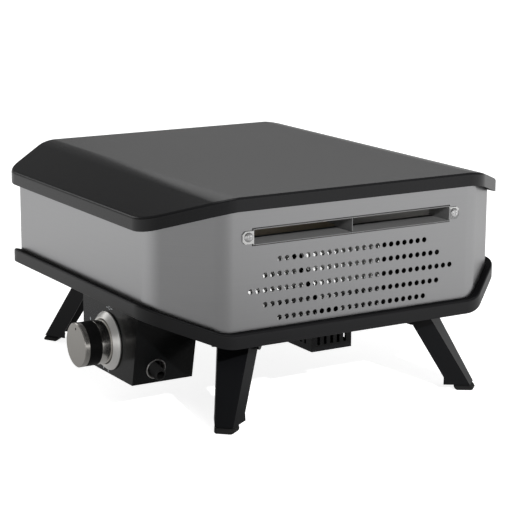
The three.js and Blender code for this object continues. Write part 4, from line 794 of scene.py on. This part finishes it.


# Rear baffle
# Two leaves of bright sheet close behind the perforations, with a leaning gap between them. Each
# stands at a slant, its control-side end nearest the perforations, and its foot is darkened with
# painted shade.
BAFFLE_FOOT_Z = 104.3
BAFFLE_GAP_HEIGHT = 72.5
BAFFLE_GAP_LEAN = 34
BAFFLE_RIGHT_END = 125
BAFFLE_LEFT_END = -42
BAFFLE_FRONT_LIMIT = REAR_Y - 12
SLANT_START = 3.4
SLANT_DEPTH = 4.4
# The fade darkens the baffle's colour below about 130 mm: painted shade at its foot.
baffle_steel = make_finish(
    "baffle_steel", (0.90, 0.90, 0.89), 0.5, metallic=0.1, cells=(30, 30, 900), tone=0.05, spread=0.05,
    fade=("Z", 134, 126, (0.30, 0.30, 0.295)))
baffle = dressed_copy("rear_baffle", "air_baffle", 0)
for vertex in baffle.data.vertices:
    across = vertex.co.x * 1000 - MIDDLE_X
    split_x = BAFFLE_GAP_LEAN + (vertex.co.z * 1000 - BAFFLE_FOOT_Z) * BAFFLE_GAP_LEAN / BAFFLE_GAP_HEIGHT
    if across > split_x:
        along = (BAFFLE_RIGHT_END - across) / (BAFFLE_RIGHT_END - split_x)
    else:
        along = (split_x - across) / (split_x - BAFFLE_LEFT_END)
    if vertex.co.y * 1000 - MIDDLE_Y > BAFFLE_FRONT_LIMIT:
        vertex.co.y += (SLANT_START - SLANT_DEPTH * min(1, max(0, along))) / 1000
fit_piece(baffle, "oven", "bright_steel", baffle_steel, "rear_baffle")


# Pizza stone, igniter and gas pipe
# A pressed cordierite slab lies loose on the rails. The igniter is a wire in a glazed ceramic sleeve
# with a rubber-skinned lead; the pipe is bent steel tube from the valve to the injector.
stone_mass = make_finish(
    "cordierite", (0.60, 0.50, 0.36), 0.85, specular=0.2, cells=(420, 420, 420), clouds=60, tone=0.16,
    spread=0.05, bump=0.5, depth=0.0003)
ceramic = make_finish("ceramic", (0.75, 0.72, 0.65), 0.25, tone=0.05, bump=0.05)
lead_skin = make_finish("lead_skin", (0.02, 0.02, 0.02), 0.5, tone=0.1, bump=0.1)
fit_piece(dressed_copy("pizza_stone", "baking_stone", 1.2, 3), "oven", "stone", stone_mass, "pizza_stone")
for node, name, material, slot in (
        ("igniter_electrode", "electrode", ceramic, "electrode_ceramic"),
        ("igniter_lead", "electrode_lead", lead_skin, "black_plastic"),
        ("gas_pipe", "gas_line", dark_steel, "dark_steel")):
    fit_piece(dressed_copy(node, name, 0), "oven", slot, material, node)


# Mouth frame
# A folded sheet collar, coated black like the lid, that lines the mouth. It stands a little proud of
# the body's front.
fit_piece(dressed_copy("mouth_frame", "mouth_collar", 0.3), "oven", "black_coat", lid_coat, "mouth_frame")


# Air cover
# A folded black box under the tray round the burner's air inlet. Slots are punched in its rear and
# sides.
cover_coat = make_finish("cover_coat", (0.004, 0.004, 0.0045), 0.42, specular=0.25, tone=0.08)
fit_piece(dressed_copy("air_cover", "slotted_cover", 0.35), "oven", "black_coat", cover_coat, "air_cover")


# Control box
# A folded box under the control-side flank, coated black, its rear face leaning in towards its foot.
# Plain light marks printed round the dial show off, high and low.
BOX_FOOT_BELOW = 0.045
BOX_FOOT_DROP = 0.0009
BOX_FACE = 213
MARK_LOW, MARK_HIGH = 0.02, 0.1
OFF_MARK_Y, OFF_MARK_Z = 66.5, 106.8
OFF_BAR_REACH = 5
OFF_BAR_SIZE = (3.4, 1.0)
OFF_RING = [(MARK_LOW, 1.3), (MARK_HIGH, 1.3), (MARK_HIGH, 2.1), (MARK_LOW, 2.1)]
FLAME_STEPS = 28
# Place and size of each flame mark: high beside the dial, low under it
FLAMES = ((22, 86, 3.0, 4.0), (51.5, 40.9, 3.0, 3.8), (62.2, 39.9, 3.0, 3.8))
box_coat = make_finish("box_coat", (0.0035, 0.0038, 0.0040), 0.24, specular=0.24, tone=0.08, bump=0.04)
mark_paint = make_finish("mark_paint", (0.70, 0.73, 0.76), 0.45, specular=0.3, tone=0.05)
box = dressed_copy("control_box", "valve_housing", 0.6)
for vertex in box.data.vertices:
    if vertex.co.z < BOX_FOOT_BELOW:
        vertex.co.z -= BOX_FOOT_DROP
fit_piece(box, "oven", "black_coat", box_coat, "control_box")


def flame_outline(y, z, width, height):
    outline = []
    for i in range(FLAME_STEPS):
        t = 2 * math.pi * i / FLAME_STEPS
        outline.append((y + width / 2 * math.sin(t) * math.sin(t / 2) ** 1.5, z + height / 2 * math.cos(t)))
    return outline


def bar_outline(y, z, width, height):
    return [(y - width / 2, z - height / 2), (y + width / 2, z - height / 2),
            (y + width / 2, z + height / 2), (y - width / 2, z + height / 2)]


def prism_faces(first, count):
    """The faces of a prism whose two outlines of count points follow each other from first."""
    second = first + count
    ends = [tuple(range(first, second)), tuple(range(second, second + count))]
    return ends + [
        (first + i, first + (i + 1) % count, second + (i + 1) % count, second + i) for i in range(count)]


mark_verts, mark_faces = turned(OFF_RING, "X", (BOX_FACE, OFF_MARK_Y, OFF_MARK_Z), 32)
outlines = [
    bar_outline(OFF_MARK_Y + shift, OFF_MARK_Z, *OFF_BAR_SIZE) for shift in (-OFF_BAR_REACH, OFF_BAR_REACH)]
outlines += [flame_outline(*flame) for flame in FLAMES]
for outline in outlines:
    mark_faces += prism_faces(len(mark_verts), len(outline))
    mark_verts += [frame_point(BOX_FACE + out, y, z) for out in (MARK_LOW, MARK_HIGH) for y, z in outline]
marks = make_piece("dial_marks", mark_verts, mark_faces)
fit_piece(marks, "oven", "black_coat", mark_paint)


# Bezel
# A brushed stainless cone ring with a thin flange, turned, fixed flat on the control box round the
# knob.
KNOB = (BOX_FACE, 64, 72)
KNOB_SIDES = 96
BEZEL_PROFILE = [(0.3, 23.4), (0.3, 30.2), (0.6, 30.5), (1.9, 30.5), (2.3, 30.2), (7.2, 25.4), (7.5, 25.0),
                 (7.5, 24.6), (6.6, 23.4)]
bezel_steel = make_finish(
    "bezel_steel", (0.93, 0.905, 0.87), 0.38, metallic=1.0, cells=(900, 300, 300), tone=0.06, spread=0.05,
    bump=0.12, depth=0.00002)
bezel = make_piece("dial_ring", *turned(BEZEL_PROFILE, "X", KNOB, KNOB_SIDES))
even_normals(bezel)
fit_piece(bezel, "oven", "bright_steel", bezel_steel, "knob_bezel")


# Knob
# A polished skirt, a moulded black grip and a brushed cap pressed together on the valve's stem. It is
# pushed in against its spring and turned; the dot on the cap is its pointer.
SKIRT_PROFILE = [(5.3, 20.8), (5.3, 22.5), (5.5, 22.7), (17.8, 22.7), (17.9, 22.6), (17.9, 9.3), (15.9, 9.3),
                 (15.9, 20.8)]
GRIP_PROFILE = [(7.6, 4.3), (7.6, 9.0), (18.1, 9.0), (18.1, 22.7), (18.3, 22.9), (31.2, 22.9), (31.4, 22.7),
                (31.4, 0), (25.4, 0), (25.4, 4.3)]
CAP_PROFILE = [(31.6, 0), (31.6, 22.7), (31.9, 23.0), (36.4, 23.0), (37.2, 22.1), (37.2, 0)]
CAP_SHARP_ANGLE = 20
CAP_SIDE_LIMIT = 0.9
POINTER_PROFILE = [(37.1, 0), (37.1, 1.3), (37.25, 1.3), (37.3, 1.1), (37.3, 0)]
POINTER = (KNOB[0], KNOB[1], KNOB[2] + 17)
polished = make_finish(
    "polished_skirt", (0.72, 0.70, 0.67), 0.20, metallic=1.0, tone=0.03, spread=0.02, bump=0.02)
grip_black = make_finish("grip_black", (0.004, 0.004, 0.004), 0.5, specular=0.12, cells=(1500, 1500, 1500))
cap_steel = make_finish(
    "cap_steel", (0.40, 0.385, 0.36), 0.30, metallic=1.0, cells=(100, 2500, 60), tone=0.06, spread=0.05,
    bump=0.12, depth=0.00002)
# The cap's side band gets a lighter, smoother copy of the cap's steel: partly a polished rim, partly a
# painted highlight.
rim_steel = make_finish(
    "rim_steel", (0.46, 0.445, 0.42), 0.24, metallic=1.0, tone=0.05, spread=0.04, bump=0.05)
skirt = make_piece("knob_collar", *turned(SKIRT_PROFILE, "X", KNOB, KNOB_SIDES))
even_normals(skirt)
fit_piece(skirt, "knob", "polished_steel", polished, "knob_skirt")
grip = make_piece("knob_grip_ring", *turned(GRIP_PROFILE, "X", KNOB, KNOB_SIDES))
even_normals(grip)
fit_piece(grip, "knob", "black_plastic", grip_black, "knob_grip")
cap = make_piece("knob_face", *turned(CAP_PROFILE, "X", KNOB, KNOB_SIDES), sharp=CAP_SHARP_ANGLE)
fit_piece(cap, "knob", "bright_steel", cap_steel, "knob_cap")
finish_faces(cap, rim_steel, lambda face: abs(face.normal.x) < CAP_SIDE_LIMIT)
pointer = make_piece("knob_pointer", *turned(POINTER_PROFILE, "X", POINTER, 24))
fit_piece(pointer, "knob", "black_plastic", grip_black)
fit_piece(dressed_copy("valve_stem", "valve_spindle", 0.2), "knob", "dark_steel", dark_steel, "valve_stem")


# Legs
# Four tapered channels of coated sheet on steel pins under the corners, splayed along the diagonals,
# between fixed sheet ears, with moulded rubber shoes. Each swings inwards to lie under the tray.
LEG_X = 112
LEG_REAR_Y = 152.2
LEG_FRONT_Y = -171
LEG_TURN = math.radians(47.5)
EAR_OUTLINE = [
    (-15, 98), (-11.5, 79), (-9.8, 75.2), (-7, 73.2), (-2, 71.8), (3, 71.4), (9, 73.5), (12, 78), (13, 98)]
EAR_FACES = (22.7, 24.5)
LEG_LEAN = 0.6
SHOE_INNER, SHOE_OUTER = 46.5, 65.6
SHOE_INNER_HALF, SHOE_OUTER_HALF = 13.6, 9.6
# Height and inset of each level of the shoe, from its top to its rolled sole
SHOE_LEVELS = ((5.6, 0.1), (2.6, 0.1), (1.4, 0.2), (0.6, 0.5), (0.2, 1.0), (0, 1.8))
SHOE_ROUNDING = 3.6
SHOE_ROUNDING_STEPS = 5
SHOE_ROUNDING_ANGLE = 50
leg_coat = make_finish("leg_coat", (0.004, 0.0042, 0.0048), 0.36, specular=0.20, tone=0.08)
shoe_rubber = make_finish(
    "shoe_rubber", (0.012, 0.012, 0.012), 0.7, specular=0.3, cells=(500, 500, 500), bump=0.3)


def from_leg(side_x, side_y, out, along, high):
    """A point of one corner: out from the leg's pivot, along its hinge, and high above the ground."""
    turn = math.atan2(side_y * math.sin(LEG_TURN), side_x * math.cos(LEG_TURN))
    return frame_point(
        side_x * LEG_X + out * math.cos(turn) - along * math.sin(turn),
        (LEG_REAR_Y if side_y > 0 else LEG_FRONT_Y) + out * math.sin(turn) + along * math.cos(turn), high)


def ear_pair(side_x, side_y):
    count = len(EAR_OUTLINE)
    verts = [
        from_leg(side_x, side_y, out, side * along, high)
        for side in (1, -1) for along in EAR_FACES for out, high in EAR_OUTLINE]
    return verts, prism_faces(0, count) + prism_faces(2 * count, count)


def shoe_piece(name, side_x, side_y):
    verts, faces = [], []
    for high, inset in SHOE_LEVELS:
        inner, outer = SHOE_INNER - LEG_LEAN * high + inset, SHOE_OUTER - LEG_LEAN * high - inset
        inner_half, outer_half = SHOE_INNER_HALF - inset, SHOE_OUTER_HALF - inset
        verts += [from_leg(side_x, side_y, out, along, high) for out, along in (
            (inner, inner_half), (outer, outer_half), (outer, -outer_half), (inner, -inner_half))]
    last = 4 * (len(SHOE_LEVELS) - 1)
    for level in range(0, last, 4):
        for i in range(4):
            j = (i + 1) % 4
            faces.append((level + i, level + j, level + 4 + j, level + 4 + i))
    faces += [(0, 1, 2, 3), (last, last + 1, last + 2, last + 3)]
    piece = make_piece(name, verts, faces)
    round_edges(piece, SHOE_ROUNDING, SHOE_ROUNDING_STEPS, SHOE_ROUNDING_ANGLE)
    even_normals(piece)
    return piece


for corner, side_x, side_y in (
        ("rear_right", 1, 1), ("rear_left", -1, 1), ("front_left", -1, -1), ("front_right", 1, -1)):
    leg_body = f"leg_{corner}_fold"
    channel = dressed_copy(f"leg_{corner}", f"channel_leg_{corner}", 0.7)
    fit_piece(channel, leg_body, "black_coat", leg_coat, f"leg_{corner}")
    shoe = shoe_piece(f"shoe_{corner}", side_x, side_y)
    fit_piece(shoe, leg_body, "rubber", shoe_rubber, f"foot_pad_{corner}")
    hanger = dressed_copy(f"leg_bracket_{corner}", f"hanger_{corner}", 0.3)
    fit_piece(hanger, "oven", "dark_steel", cover_coat, f"leg_bracket_{corner}")
    ears = make_piece(f"hanger_ears_{corner}", *ear_pair(side_x, side_y))
    fit_piece(ears, "oven", "dark_steel", leg_coat)
    pivot = dressed_copy(f"hinge_pin_{corner}", f"pivot_{corner}", 0)
    fit_piece(pivot, "oven", "bright_steel", dark_steel, f"hinge_pin_{corner}")
